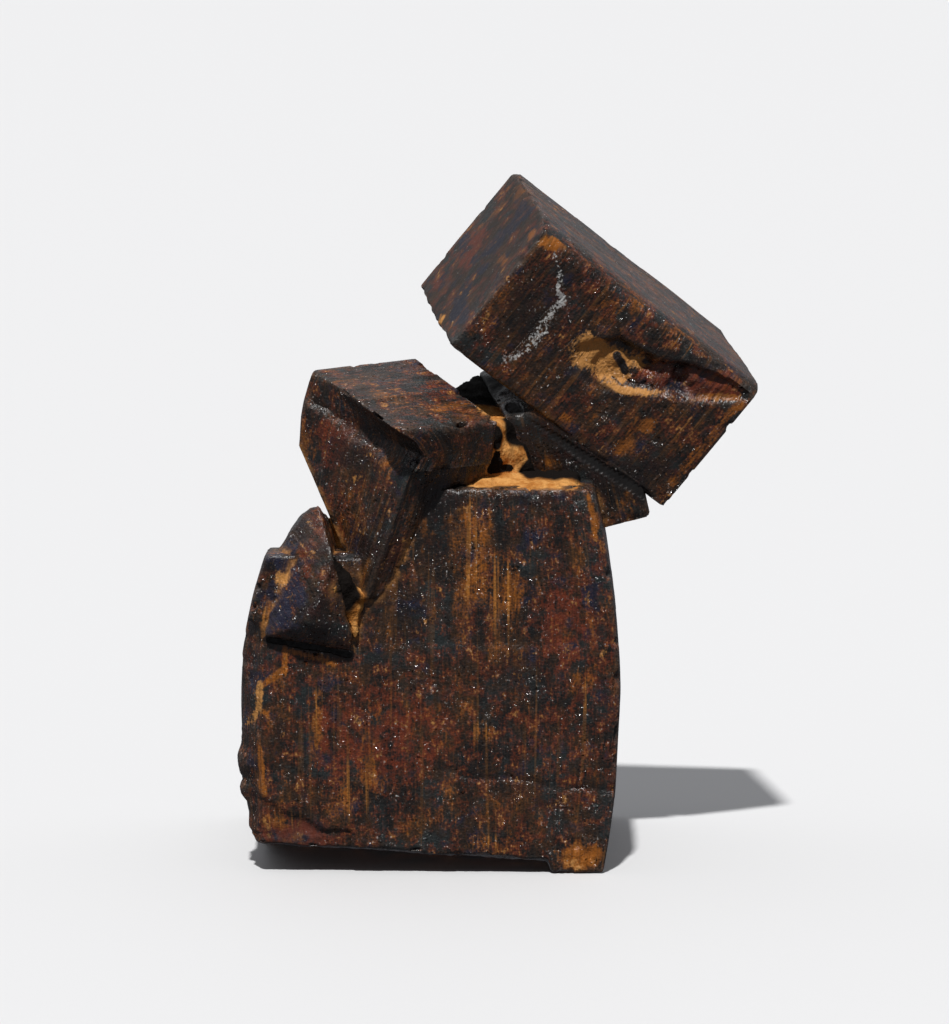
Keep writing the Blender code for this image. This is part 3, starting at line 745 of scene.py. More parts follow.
@dataclass
class LargeCube(Crystal):
    """The large cube: barrel-shaped sides, a lower left top, a worn left edge and a broken base.

    Attributes:
        side_radius: The radius of its upright sides' bulge.
        widest_at: The height where it is widest.
        left_top: How high its left part is.
        step_at: Where the rise to its right part begins and ends, along X.
        left_steps: Where each step down towards the back starts, and its height.
        slope: How far the worn left front edge reaches across and back, and how high.
        tab_left: The left edge of the unbroken tab at the front right of its base.
        base_break: The rise of the broken base at the tab, its rise to the left and its fall to the back.
        shelf_depth: How deep the shelf is that is split off the lower left of its front.
        knobs: The height, reach and stand of each knob on the worn edge.
    """

    side_radius: float = 60.0 * MM
    widest_at: float = 11.5 * MM
    left_top: float = 21.6 * MM
    step_at: tuple[float, float] = (-3.5 * MM, -1.9 * MM)
    left_steps: tuple[tuple[float, float], ...] = ((-7.73 * MM, 20.31 * MM), (-2.47 * MM, 18.23 * MM))
    slope: Point = (1.45 * MM, 2.4 * MM, 16.5 * MM)
    tab_left: float = 8.1 * MM
    base_break: Point = (0.9 * MM, 0.064, 0.176)
    shelf_depth: float = 0.30 * MM
    knobs: tuple[Point, ...] = ((7.3 * MM, 1.5 * MM, 0.5 * MM), (5.4 * MM, 0.95 * MM, 0.45 * MM))

    PRESSED_ABOVE = 11.0 * MM
    RUBBLE_WAY = (-0.86, -0.5)
    RUBBLE_UP_TO = 17.5 * MM
    SHELF_EDGE = (
        (-14.0, 5.8), (-11.3, 5.3), (-10.6, 5.0), (-10.0, 4.4), (-9.2, 4.1), (-8.35, 3.8),
        (-7.55, 3.3), (-7.0, 3.0), (-6.4, 3.1), (-5.3, 3.0), (-5.2, -3.0),
    )
    LIFTED_BELOW = 3.0 * MM
    GROWTH_STEP_AT = 15.3 * MM
    GROWTH_STEP = 0.07 * MM
    CRACK_AT = 7.0 * MM
    CRACK = 0.13 * MM

    def carve(self, points: np.ndarray) -> np.ndarray:
        """Presses the large cube's features into it, one after the other."""
        lift = self.size[2] / 2
        world = points + (0.0, 0.0, lift)
        world = self.barrel(world)
        world = self.lower_top(world)
        world = self.worn_edge(world)
        world = self.rubble(world)
        world = self.split_shelf(world)
        world = self.broken_base(world)
        world = self.fine_marks(world)
        return world - (0.0, 0.0, lift)

    def barrel(self, at: np.ndarray) -> np.ndarray:
        """Bends the two upright sides to arcs."""
        half = self.size[0] / 2
        inset = (at[:, 2] - self.widest_at) ** 2 / (2 * self.side_radius)
        share = np.clip(np.abs(at[:, 0]) / half, 0, 1) ** 3
        at[:, 0] -= np.sign(at[:, 0]) * inset * share
        return at

    def lower_top(self, at: np.ndarray) -> np.ndarray:
        """Lowers the left of the top, in steps towards the back, by pressing together what is under it."""
        full = self.size[2]
        wander = 0.15 * MM * value_noise(at * (1, 1, 0), 1.1 * MM, 5)
        top = np.full(len(at), self.left_top)
        for start, height in self.left_steps:
            top = np.where(at[:, 1] + wander > start, height, top)
        rise = smooth_step(at[:, 0] + wander, self.step_at[0], self.step_at[1])
        top = top + (full - top) * rise
        base = self.PRESSED_ABOVE
        share = np.clip((at[:, 2] - base) / (full - base), 0, None)
        at[:, 2] = np.where(share > 0, base + share * (top - base), at[:, 2])
        return at

    def worn_edge(self, at: np.ndarray) -> np.ndarray:
        """Flattens the left front edge to a slope up to a height."""
        across, deep, high = self.slope
        corner = np.array((-self.size[0] / 2, -self.size[1] / 2))
        normal = np.array((-deep, -across)) / math.hypot(deep, across)
        offset = (corner + (across, 0.0)) @ normal
        beyond = at[:, :2] @ normal - offset
        upper = high + 0.5 * MM * value_noise(at, 1.5 * MM, 9)
        share = smooth_step(at[:, 2] - upper, 0.5 * MM, -0.2 * MM)
        push = np.clip(beyond, 0, None) * share
        at[:, :2] -= push[:, None] * normal
        return at

    def rubble(self, at: np.ndarray) -> np.ndarray:
        """Roughens the worn left edge with lumps and pits."""
        corner = (-self.size[0] / 2, -self.size[1] / 2)
        far = np.hypot((at[:, 0] - corner[0]) / 2.4, (at[:, 1] - corner[1]) / 3.2)
        share = smooth_step(far, 1.25 * MM, 0.5 * MM)
        share *= smooth_step(at[:, 2], self.RUBBLE_UP_TO, self.RUBBLE_UP_TO - 2.0 * MM)
        cubes = np.abs(value_noise(at, 1.5 * MM, 21)) + 0.6 * np.abs(value_noise(at, 0.8 * MM, 22)) - 0.5
        push = 0.2 * MM * share * cubes
        for height, reach, stands in self.knobs:
            place = np.array((corner[0] + 0.6 * MM, corner[1] + 2.6 * MM, height))
            near = np.linalg.norm((at - place) / (1.6, 1.6, 1.0), axis=1)
            push += stands * smooth_step(near, reach, 0.35 * reach)
        at[:, :2] += push[:, None] * self.RUBBLE_WAY
        return at

    def split_shelf(self, at: np.ndarray) -> np.ndarray:
        """Sets back the lower left of the front to a shelf with a ragged upper edge."""
        front = -self.size[1] / 2
        x = at[:, 0] / MM + 0.1 * value_noise(at, 0.9 * MM, 31)
        z = at[:, 2] / MM + 0.12 * value_noise(at, 1.2 * MM, 32)
        upper = np.interp(x, *zip(*self.SHELF_EDGE))
        inside = smooth_step(upper - z, -0.12, 0.3)
        near = np.clip(1 - (at[:, 1] - front) / (4 * MM), 0, 1)
        crumble = 0.8 + 0.2 * rough_noise(at, 1.6 * MM, 33)
        at[:, 1] += self.shelf_depth * crumble * inside * near
        return at

    def broken_base(self, at: np.ndarray) -> np.ndarray:
        """Raises the front of the underside to a rough slope, all but the tab at its right."""
        rise, leftwards, fall = self.base_break
        ragged = 0.25 * MM * value_noise(at * (1, 1, 0), 0.9 * MM, 41)
        height = rise + leftwards * (self.tab_left - at[:, 0]) - fall * (at[:, 1] + self.size[1] / 2)
        height += 0.16 * MM * rough_noise(at * (1, 1, 0), 1.3 * MM, 42)
        broken = smooth_step(at[:, 0] + ragged, self.tab_left + 0.15 * MM, self.tab_left - 0.15 * MM)
        height = np.clip(height, 0, None) * broken
        base = self.LIFTED_BELOW
        share = np.clip(at[:, 2] / base, 0, 1)
        at[:, 2] = np.where(at[:, 2] < base, height + share * (base - height), at[:, 2])
        return at

    def fine_marks(self, at: np.ndarray) -> np.ndarray:
        """Adds a low growth step across the front, a hairline crack under it and the tab's rough skin."""
        front = -self.size[1] / 2
        near = smooth_step(at[:, 1] - front, 0.8 * MM, 0.1 * MM)
        line = self.GROWTH_STEP_AT + 0.25 * MM * value_noise(at * (1, 0, 0), 2.0 * MM, 51)
        step = smooth_step(at[:, 2], line, line + 0.25 * MM) * smooth_step(at[:, 0], -4.5 * MM, -3.0 * MM)
        crack_z = self.CRACK_AT - 0.1 * at[:, 0] + 0.3 * MM * value_noise(at * (1, 0, 0), 1.3 * MM, 52)
        crack = smooth_step(np.abs(at[:, 2] - crack_z), 0.3 * MM, 0.05 * MM)
        crack *= smooth_step(at[:, 0], 0.0, 2.0 * MM)
        tab = smooth_step(at[:, 2], 2.9 * MM, 1.9 * MM) * smooth_step(at[:, 0], 7.4 * MM, 8.2 * MM)
        bumps = 0.22 * MM * rough_noise(at, 0.7 * MM, 53) * tab
        at[:, 1] += near * (self.GROWTH_STEP * step + self.CRACK * crack + bumps)
        return at


@dataclass
class TabularBlock(Crystal):
    """The thick tabular block at the top, with a worn hollow in its front and a groove to its corner.

    Attributes:
        hollow_at: The middle of the hollow, across and up its front.
        hollow_half: Half the hollow's length and width.
        hollow_turn: How the hollow is turned in the face, in degrees.
        hollow_depth: How deep it is.
        groove_to: The far end of the groove.
        groove_half: Half the groove's width where it starts.
        groove_depth: How deep it is there.
        top_radius: The rounding of the edge between its front and its top.
        dents: For each lump or pit in them, how far across and up it is, its reach and its depth.
    """

    hollow_at: tuple[float, float] = (0.05 * MM, 0.25 * MM)
    hollow_half: tuple[float, float] = (2.95 * MM, 2.0 * MM)
    hollow_turn: float = 33.0
    hollow_depth: float = 0.55 * MM
    groove_to: tuple[float, float] = (8.85 * MM, 4.2 * MM)
    groove_half: float = 1.5 * MM
    groove_depth: float = 0.62 * MM
    top_radius: float = 1.5 * MM
    dents: tuple[tuple[float, float, float, float], ...] = (
        (0.3 * MM, 0.8 * MM, 0.75 * MM, -0.2 * MM),
        (2.05 * MM, 1.9 * MM, 0.8 * MM, 0.45 * MM),
        (3.25 * MM, 1.3 * MM, 0.6 * MM, -0.25 * MM),
        (4.45 * MM, 2.6 * MM, 0.7 * MM, 0.3 * MM),
    )

    def worn_depth(self, at: np.ndarray) -> np.ndarray:
        """How deep the hollow and its groove are at points of the front.

        Args:
            at: Points in the block's own frame.

        Returns:
            One depth for each point.
        """
        wander = np.stack([value_noise(at, 0.8 * MM, seed) for seed in (61, 62)], axis=1)
        place = at[:, [0, 2]] + 0.22 * MM * wander
        turn = math.radians(self.hollow_turn)
        spin = np.array(((math.cos(turn), math.sin(turn)), (-math.sin(turn), math.cos(turn))))
        local = (place - self.hollow_at) @ spin.T / self.hollow_half
        dish = smooth_step(np.hypot(local[:, 0], local[:, 1]), 1.04, 0.78)
        dish *= 0.5 + 0.5 * smooth_step(local[:, 0], -0.9, 0.3)
        dish *= 0.3 + 0.7 * np.clip((local[:, 1] + 1.0) / 1.6, 0.0, 1.0)
        start, end = np.array(self.hollow_at), np.array(self.groove_to)
        way = end - start
        share = np.clip((place - start) @ way / (way @ way), 0, 1)
        off = np.hypot(*(place - (start + share[:, None] * way)).T)
        width = self.groove_half * (1 - 0.75 * share**4)
        trough = smooth_step(off / width, 1.0, 0.55) * (1 - 0.45 * share)
        crumb = 1.0 + 0.5 * rough_noise(at, 0.75 * MM, 63) * smooth_step(local[:, 0], -0.3, 0.5)
        deep = np.maximum(self.hollow_depth * dish, self.groove_depth * trough)
        for across, up, reach, change in self.dents:
            near = np.hypot(*(place - (across, up)).T) / reach
            deep += change * smooth_step(near, 1.0, 0.4) * smooth_step(deep, 0.1 * MM, 0.3 * MM)
        return deep * crumb

    def carve(self, points: np.ndarray) -> np.ndarray:
        """Presses the hollow and groove into the front, and steps the top and lower left edges."""
        front = -self.size[1] / 2
        near = np.clip(1 - (points[:, 1] - front) / (3 * MM), 0, 1)
        half = np.array(self.size) / 2
        depth = self.worn_depth(points) * near
        points = round_edge(points, half, {Axis.Y: -1, Axis.Z: 1}, self.top_radius)
        points[:, 1] += depth
        bite = smooth_step(points[:, 0] + half[0], 3.2 * MM, 0.0)
        bite *= smooth_step(points[:, 2] + half[2], 1.4 * MM, 0.0)
        ragged = np.clip(0.4 + rough_noise(points, 1.1 * MM, 64), 0, 1)
        points[:, 2] += 0.22 * MM * bite * ragged
        inner = smooth_step(np.abs(points[:, [1, 2]]) / half[[1, 2]], 0.97, 0.90).prod(axis=1)
        flat = inner * smooth_step(points[:, 0] + half[0], 0.5 * MM, 0.3 * MM)
        points[:, 0] += 0.8 * flat * (-half[0] - points[:, 0])
        return points


@dataclass
class LeftCube(Crystal):
    """The upper left cube: a cap stands out over its right face, and a growth layer covers its left face.

    Attributes:
        cap_from: The height in its own frame where the cap starts on the right face.
        cap_stands: How far the cap stands out there.
        layer_to: The heights where the left layer ends, at its front edge and at its back edge.
        layer_stands: How far that layer stands out.
        corner_heights: Heights in its own frame along its upright corners.
        corner_insets: How far its front corner is set back to the right at each of them.
        corner_bulges: How far its left back corner bulges to the left at each of them.
    """

    cap_from: float = 3.0 * MM
    cap_stands: float = 0.5 * MM
    layer_to: tuple[float, float] = (2.5 * MM, 4.6 * MM)
    layer_stands: float = 0.4 * MM
    corner_heights: Point6 = (-6.3 * MM, 0.3 * MM, 3.0 * MM, 4.2 * MM, 5.4 * MM, 6.3 * MM)
    corner_insets: Point6 = (0.5 * MM, 1.6 * MM, 2.0 * MM, 2.5 * MM, 1.5 * MM, 0.0)
    corner_bulges: Point6 = (0.0, 0.35 * MM, 0.5 * MM, 0.45 * MM, 0.25 * MM, 0.0)

    def carve(self, points: np.ndarray) -> np.ndarray:
        """Bends the upright corners, and raises the cap and the layer."""
        half = np.array(self.size) / 2
        inset = np.interp(points[:, 2], self.corner_heights, self.corner_insets)
        bulge = np.interp(points[:, 2], self.corner_heights, self.corner_bulges)
        forward = np.clip((half[1] - points[:, 1]) / (2 * half[1]), 0, 1)
        outward = np.clip((half[0] - points[:, 0]) / (2 * half[0]), 0, 1)
        points[:, 0] += outward * (inset * forward - bulge * (1 - forward))
        ragged = 0.2 * MM * rough_noise(points, 1.2 * MM, 71)
        right = smooth_step(points[:, 1], -half[1] + 3 * MM, -half[1])
        cap = smooth_step(points[:, 2] + ragged, self.cap_from - 0.12 * MM, self.cap_from + 0.12 * MM)
        points[:, 1] -= self.cap_stands * cap * right
        left = smooth_step(points[:, 0], -half[0] + 3 * MM, -half[0])
        back = (points[:, 1] + half[1]) / (2 * half[1])
        end = self.layer_to[0] + (self.layer_to[1] - self.layer_to[0]) * back
        layer = smooth_step(points[:, 2] - end + ragged, 0.12 * MM, -0.12 * MM)
        layer *= smooth_step(points[:, 1], half[1] - 0.3 * MM, half[1] - 0.7 * MM)
        points[:, 0] -= self.layer_stands * layer * left
        top = smooth_step(points[:, 2], half[2] - 2 * MM, half[2])
        plate = smooth_step(points[:, 1] + 0.5 * ragged + 0.8 * MM, -0.1 * MM, 0.1 * MM)
        points[:, 2] += 0.16 * MM * plate * top
        return points


@dataclass
class Lump:
    """A body given by its outer corners, made fine and rough: a worn small crystal or a wedge of crust.

    Attributes:
        name: What it is called.
        corners: Its outer corners, in millimetres.
        fineness: The size of its faces.
        rough: How far its surface wanders.
        grain: How wide the wander's cells are.
        soften: How often its edges are smoothed.
        seed: Picks the pattern.
    """

    name: str
    corners: tuple[Point, ...]
    fineness: float
    rough: float
    grain: float
    soften: int
    seed: int

    def build(self, finishes: Finishes, index: int, growth: Matrix) -> bpy.types.Object:
        """Makes the body in its place.

        Args:
            finishes: The specimen's materials.
            index: Which of them shows on it.
            growth: The turn of its growth lines.

        Returns:
            Its object.
        """
        obj = new_object(self.name, hull_mesh(self.name, [Vector(corner) * MM for corner in self.corners]))
        modifier = obj.modifiers.new("fine", "REMESH")
        modifier.mode = "VOXEL"
        modifier.voxel_size = self.fineness
        if self.soften:
            relax = obj.modifiers.new("soft", "SMOOTH")
            relax.iterations = self.soften
            relax.factor = 0.5
        settle(obj)
        points = mesh_points(obj.data)
        push = self.rough * rough_noise(points, self.grain, self.seed)
        set_mesh_points(obj.data, points + mesh_normals(obj.data) * push[:, None])
        finishes.dress(obj, index)
        turned = points @ np.array(growth.to_3x3())
        layer = np.full(len(points), SEED_STEP * self.seed)
        vertex = read_numbers(obj.data.loops, "vertex_index", 1, np.int32)
        stored = np.stack([turned[:, 0], turned[:, 2], layer], axis=1)[vertex]
        store_vectors(obj.data, "growth", "CORNER", stored)
        log.info("%s: %d faces", self.name, len(obj.data.polygons))
        return obj


@dataclass(frozen=True)
class Patch:
    """A place, or a run from one place to another, where a stain is strong.

    Attributes:
        stain: Which stain.
        centre: The middle of the place or the start of the run, in millimetres.
        reach: How far it reaches along X, Y and Z, in millimetres.
        strength: How strong it is in its middle.
        end: The end of the run, in millimetres.
        wander: How much its outline wanders.
        facing: Where the surface must face for it to show.
        CORE: The share of its reach where it is at full strength.
        FACED: How far the surface must face there for it to start, and to show in full.
    """

    stain: Stain
    centre: Point
    reach: Point
    strength: float = 1.0
    end: Point | None = None
    wander: float = 1.0
    facing: Point | None = None

    CORE = 0.25
    FACED = (0.55, 0.8)

    def mask(self, points: np.ndarray, normals: np.ndarray, warp: np.ndarray) -> np.ndarray:
        """How strong the stain is.

        Args:
            points: Places on the specimen.
            normals: The surface's direction at each.
            warp: How far each is moved before it is measured, so that outlines wander.

        Returns:
            One number from 0 to 1 for each place.
        """
        reach = np.array(self.reach) * MM
        away = (points + warp * self.wander - np.array(self.centre) * MM) / reach
        if self.end:
            way = (np.array(self.end) - self.centre) * MM / reach
            share = np.clip(away @ way / (way @ way), 0.0, 1.0)
            away = away - share[:, None] * way
        strong = self.strength * smooth_step(np.linalg.norm(away, axis=1), 1.0, self.CORE)
        if self.facing:
            strong = strong * smooth_step(normals @ np.array(self.facing), *self.FACED)
        return strong


GroupParts = tuple[Nodes, bpy.types.Node, bpy.types.Node]


class ShaderGroups:
    """The shader node groups that the finishes share. They put out masks, heights and a normal only."""

    def __init__(self) -> None:
        """Makes the groups."""
        self.growth_lines = self._growth_lines()
        self.mottle = self._mottle()
        self.grain = self._grain()
        self.glints = self._glints()

    @staticmethod
    def _new(name: str, inputs: dict[str, float], outputs: tuple[str, ...]) -> GroupParts:
        """Starts a group.

        Args:
            name: Its name.
            inputs: The names and first values of its number inputs.
            outputs: The names of its outputs.

        Returns:
            Its builder, its Group Input and its Group Output.
        """
        tree = bpy.data.node_groups.new(name, "ShaderNodeTree")
        for label, value in inputs.items():
            socket = tree.interface.new_socket(label, in_out="INPUT", socket_type="NodeSocketFloat")
            socket.default_value = value
        for label in outputs:
            tree.interface.new_socket(label, in_out="OUTPUT", socket_type="NodeSocketFloat")
        nodes = Nodes(tree)
        return nodes, nodes.add("NodeGroupInput"), nodes.add("NodeGroupOutput")

    def _growth_lines(self) -> bpy.types.NodeTree:
        """Fine lines along the growth direction: a height for relief, and a slower streak for colour."""
        inputs = {"Spacing": 0.3 * MM, "Stretch": 18.0}
        nodes, given, result = self._new("growth_lines", inputs, ("Height", "Streak", "Fleck", "Hair"))
        at = nodes.stored("growth")
        across = nodes.math("DIVIDE", at[0], given.outputs["Spacing"])
        along = nodes.math("DIVIDE", at[1], given.outputs["Spacing"])
        along = nodes.math("DIVIDE", along, given.outputs["Stretch"])
        face = nodes.math("MULTIPLY", at[2], 900.0)
        drawn = nodes.joined(across, along, face)
        fine = nodes.noise(drawn, 1.0, 3.0, 0.65)
        strips = nodes.split(nodes.cells(drawn, 0.9).outputs[1])[0]
        height = nodes.math("ADD", nodes.math("MULTIPLY", fine, 0.6), nodes.math("MULTIPLY", strips, 0.4))
        streak = nodes.noise(nodes.vector("MULTIPLY", drawn, (0.17, 0.95, 1.0)), 1.0, 2.5, 0.55)
        fleck = nodes.noise(nodes.vector("MULTIPLY", drawn, (1.1, 5.0, 1.0)), 1.0, 2.0, 0.6)
        hair = nodes.noise(nodes.vector("MULTIPLY", drawn, (0.8, 0.28, 1.7)), 1.0, 0.5, 0.5)
        hair = nodes.ramp(hair, 0.64, 0.72)
        for label, value in (("Height", height), ("Streak", streak), ("Fleck", fleck), ("Hair", hair)):
            nodes.feed(result.inputs[label], value)
        return nodes.tree

    def _mottle(self) -> bpy.types.NodeTree:
        """Blotches of one size with finer ones inside them."""
        nodes, given, result = self._new("mottle", {"Size": 2.0 * MM, "Shift": 0.0}, ("Blotch", "Spot"))
        place = nodes.place()
        scale = nodes.math("DIVIDE", 1.0, given.outputs["Size"])
        moved = nodes.vector("ADD", place, nodes.joined(given.outputs["Shift"], 0.0, 0.0))
        blotch = nodes.noise(moved, scale, 4.0, 0.62)
        spot = nodes.noise(moved, nodes.math("MULTIPLY", scale, 5.3), 3.0, 0.6)
        nodes.feed(result.inputs["Blotch"], blotch)
        nodes.feed(result.inputs["Spot"], spot)
        return nodes.tree

    def _grain(self) -> bpy.types.NodeTree:
        """Crystal grain: tiny pits and raised specks."""
        nodes, given, result = self._new("crystal_grain", {"Size": 0.2 * MM}, ("Height", "Speck"))
        place = nodes.place()
        scale = nodes.math("DIVIDE", 1.0, given.outputs["Size"])
        cells = nodes.cells(place, scale)
        round_grains = nodes.math("MULTIPLY", cells.outputs[0], 0.4)
        height = nodes.math("MULTIPLY_ADD", nodes.noise(place, scale, 3.0, 0.7), 0.6, round_grains)
        speck = nodes.ramp(nodes.split(cells.outputs[1])[2], 0.82, 0.9)
        nodes.feed(result.inputs["Height"], height)
        nodes.feed(result.inputs["Speck"], speck)
        return nodes.tree

    def _glints(self) -> bpy.types.NodeTree:
        """Tiny facets in clusters: a normal tilted at random in some cells of two patterns, and a mask."""
        inputs = {"Size": 0.13 * MM, "Tilt": 1.35, "Cluster Size": 1.6 * MM, "Boost": 0.0}
        nodes, given, result = self._new("glints", inputs, ("Facet",))
        nodes.tree.interface.new_socket("Normal", in_out="OUTPUT", socket_type="NodeSocketVector")
        place = nodes.place()
        cluster = nodes.noise(place, nodes.math("DIVIDE", 1.0, given.outputs["Cluster Size"]), 3.0, 0.6)
        limit = nodes.math("ADD", nodes.ramp(cluster, 0.40, 0.66, 0.25, 0.50), given.outputs["Boost"])
        flat = nodes.vector("MULTIPLY", place, (1.0, 1.0, 1.5))
        normal = nodes.add("ShaderNodeNewGeometry").outputs["Normal"]
        facet: object = 0.0
        for coarser in (1.0, 2.1):
            scale = nodes.math("DIVIDE", 1.0 / coarser, given.outputs["Size"])
            colour = nodes.cells(flat, scale).outputs[1]
            tilt = nodes.vector("SUBTRACT", colour, (0.5, 0.5, 0.25))
            chance = nodes.noise(nodes.scaled(colour, 9.0), 1.0, 0.0)
            chosen = nodes.math("LESS_THAN", nodes.math("MULTIPLY_ADD", coarser, 0.08, chance), limit)
            facet = nodes.math("MAXIMUM", facet, chosen)
            amount = nodes.math("MULTIPLY", chosen, given.outputs["Tilt"])
            normal = nodes.vector("ADD", normal, nodes.scaled(tilt, amount))
        nodes.feed(result.inputs["Facet"], facet)
        nodes.feed(result.inputs["Normal"], nodes.vector("NORMALIZE", normal))
        return nodes.tree


def use_group(nodes: Nodes, tree: bpy.types.NodeTree, **values: float) -> bpy.types.Node:
    """Places a shader group in a material with its own values.

    Args:
        nodes: The material's builder.
        tree: The group.
        values: Its inputs by name.

    Returns:
        The group's node.
    """
    node = nodes.add("ShaderNodeGroup", node_tree=tree)
    for label, value in values.items():
        node.inputs[label].default_value = value
    return node


Colour = tuple[float, float, float, float]


@dataclass(frozen=True)
class SkinFinish:
    """The crystals' skin: near-black, glossy and striated, with rust, maroon, ochre and blue-black stains,
    painted shade in its hollows, grooves, gaps and shadows, and a painted highlight on raised edges.

    Attributes:
        dark: The base where it is darkest, also the painted shade in hollows, grooves and shadowed places.
        brown: The base where it is lighter.
        slate: The base's cooler places.
        rust: Orange-brown grains and streaks.
        amber: Thin bright lines along the growth direction.
        maroon: Red-brown grains.
        ochre: Earth in the seams.
        blue: Blue-black tarnish.
        vein: The pale vein.
        gap: Painted shade, near black, in the deepest gaps between crystals and in shadowed places.
        worn: The raised edges, lighter where they are worn and as a painted highlight.
        gloss: The least and most roughness of the bare skin.
        ior: Its refractive index.
        relief: How far the bump stands out.
    """

    dark: Colour = (0.010, 0.0095, 0.0095, 1.0)
    brown: Colour = (0.080, 0.036, 0.014, 1.0)
    slate: Colour = (0.022, 0.027, 0.027, 1.0)
    rust: Colour = (0.340, 0.108, 0.014, 1.0)
    amber: Colour = (0.480, 0.190, 0.036, 1.0)
    maroon: Colour = (0.170, 0.034, 0.014, 1.0)
    ochre: Colour = (0.560, 0.250, 0.060, 1.0)
    blue: Colour = (0.018, 0.018, 0.036, 1.0)
    vein: Colour = (0.600, 0.600, 0.580, 1.0)
    gap: Colour = (0.003, 0.003, 0.003, 1.0)
    worn: Colour = (0.110, 0.090, 0.075, 1.0)
    gloss: tuple[float, float] = (0.17, 0.42)
    ior: float = 1.55
    relief: float = 0.12 * MM

    def material(self, groups: ShaderGroups) -> bpy.types.Material:
        """Makes the material.

        Args:
            groups: The shared shader groups.

        Returns:
            The material.
        """
        material, nodes, shader = new_material("limonite_skin")
        warm = nodes.stored("stain_warm")
        cool = nodes.stored("stain_cool")
        form = nodes.stored("form")
        polish = nodes.stored("polish")
        lines = use_group(nodes, groups.growth_lines, Spacing=0.20 * MM, Stretch=16.0)
        mottle = use_group(nodes, groups.mottle, Size=1.9 * MM, Shift=0.0)
        second = use_group(nodes, groups.mottle, Size=1.1 * MM, Shift=0.031)
        third = use_group(nodes, groups.mottle, Size=2.8 * MM, Shift=0.057)
        grain = use_group(nodes, groups.grain, Size=0.17 * MM)
        glints = use_group(nodes, groups.glints, Size=0.14 * MM)
        # Painted shade: where the black stain passes 1 the skin is painted near black, rougher and without
        # glints
        deep = nodes.ramp(cool[1], 1.0, 1.4)
        plain = nodes.math("MAXIMUM", polish[0], deep)
        boost = nodes.math("MULTIPLY_ADD", polish[1], 0.24, nodes.math("MULTIPLY", plain, -0.8))
        nodes.feed(glints.inputs["Boost"], boost)
        coarse = nodes.ramp(plain, 0.0, 1.0, 1.0, 0.25)

        fine = nodes.math("MULTIPLY", grain.outputs["Height"], 0.50)
        fine = nodes.math("MULTIPLY_ADD", lines.outputs["Fleck"], 0.50, fine)
        fine = nodes.math("MULTIPLY_ADD", nodes.math("SUBTRACT", fine, 0.5), coarse, 0.5)

        def broken(slow: object, weight: float) -> bpy.types.NodeSocket:
            """A slow pattern broken into grains, from about 0.1 to 0.9."""
            mixed = nodes.math("MULTIPLY_ADD", slow, weight, nodes.math("MULTIPLY", fine, 1.0 - weight))
            return nodes.math("MULTIPLY_ADD", mixed, 2.4, -0.7)

        def shown(mask: object, pattern: object, low: float, high: float) -> bpy.types.NodeSocket:
            """A stain's share: its mask lifts the pattern over the limit where it starts to show."""
            return nodes.ramp(nodes.math("MULTIPLY_ADD", mask, 0.42, pattern), low, high)

        patchy = nodes.math("MULTIPLY", mottle.outputs["Blotch"], 0.45)
        patchy = nodes.math("MULTIPLY_ADD", lines.outputs["Streak"], 0.55, patchy)
        base = nodes.blend(nodes.ramp(broken(patchy, 0.6), 0.25, 0.80), self.dark, self.brown)
        base = nodes.blend(nodes.ramp(broken(third.outputs["Blotch"], 0.75), 0.48, 0.72), base, self.slate)
        maroon = shown(warm[2], broken(second.outputs["Blotch"], 0.6), 0.58, 0.98)
        base = nodes.blend(maroon, base, self.maroon)
        blue = shown(cool[0], broken(mottle.outputs["Blotch"], 0.85), 0.66, 0.92)
        base = nodes.blend(blue, base, self.blue)
        base = nodes.blend(shown(warm[1], broken(patchy, 0.6), 0.70, 1.05), base, self.rust)
        hair = nodes.math("MULTIPLY", lines.outputs["Hair"], nodes.ramp(warm[1], 0.25, 0.8, 0.1, 0.65))
        base = nodes.blend(nodes.math("MULTIPLY", hair, coarse), base, self.amber)
        # The black stain: black tarnish, and painted shade in shadowed places
        black = shown(cool[1], broken(second.outputs["Blotch"], 0.7), 0.62, 0.95)
        base = nodes.blend(nodes.math("MULTIPLY", black, 0.85), base, self.dark)
        # Painted shade: darker in the low grooves of the growth lines
        groove = nodes.math("MULTIPLY", nodes.ramp(lines.outputs["Height"], 0.50, 0.36, 0.0, 0.35), coarse)
        base = nodes.blend(groove, base, self.dark)
        # Lighter on raised edges: partly wear, partly a painted highlight
        rubbed_and_highlit = nodes.math("MULTIPLY", form[1], nodes.ramp(grain.outputs["Height"], 0.35, 0.6, 0.0, 0.4))
        base = nodes.blend(rubbed_and_highlit, base, self.worn)
        # Painted shade: darker in hollows
        base = nodes.blend(nodes.math("MULTIPLY", form[0], 0.5), base, self.dark)
        base = nodes.blend(nodes.math("MULTIPLY", polish[0], 0.45), base, self.dark)
        dry = nodes.math("SUBTRACT", 1.0, cool[1], clamp=True)
        seam = nodes.math("MULTIPLY", form[2], nodes.ramp(second.outputs["Blotch"], 0.42, 0.60, 0.0, 0.7))
        earthy = shown(warm[0], broken(second.outputs["Blotch"], 0.5), 0.62, 0.98)
        ochre = nodes.math("MAXIMUM", earthy, nodes.math("MULTIPLY", seam, dry))
        ochre = nodes.math("MULTIPLY", ochre, nodes.ramp(cool[1], 0.5, 0.85, 1.0, 0.0))
        base = nodes.blend(ochre, base, self.ochre)
        vein = shown(cool[2], broken(second.outputs["Spot"], 0.6), 0.74, 0.98)
        base = nodes.blend(nodes.math("MULTIPLY", vein, 0.85), base, self.vein)
        # Painted shade, near black, in the gaps and shadowed places
        base = nodes.blend(deep, base, self.gap)
        nodes.feed(shader.inputs["Base Color"], base)

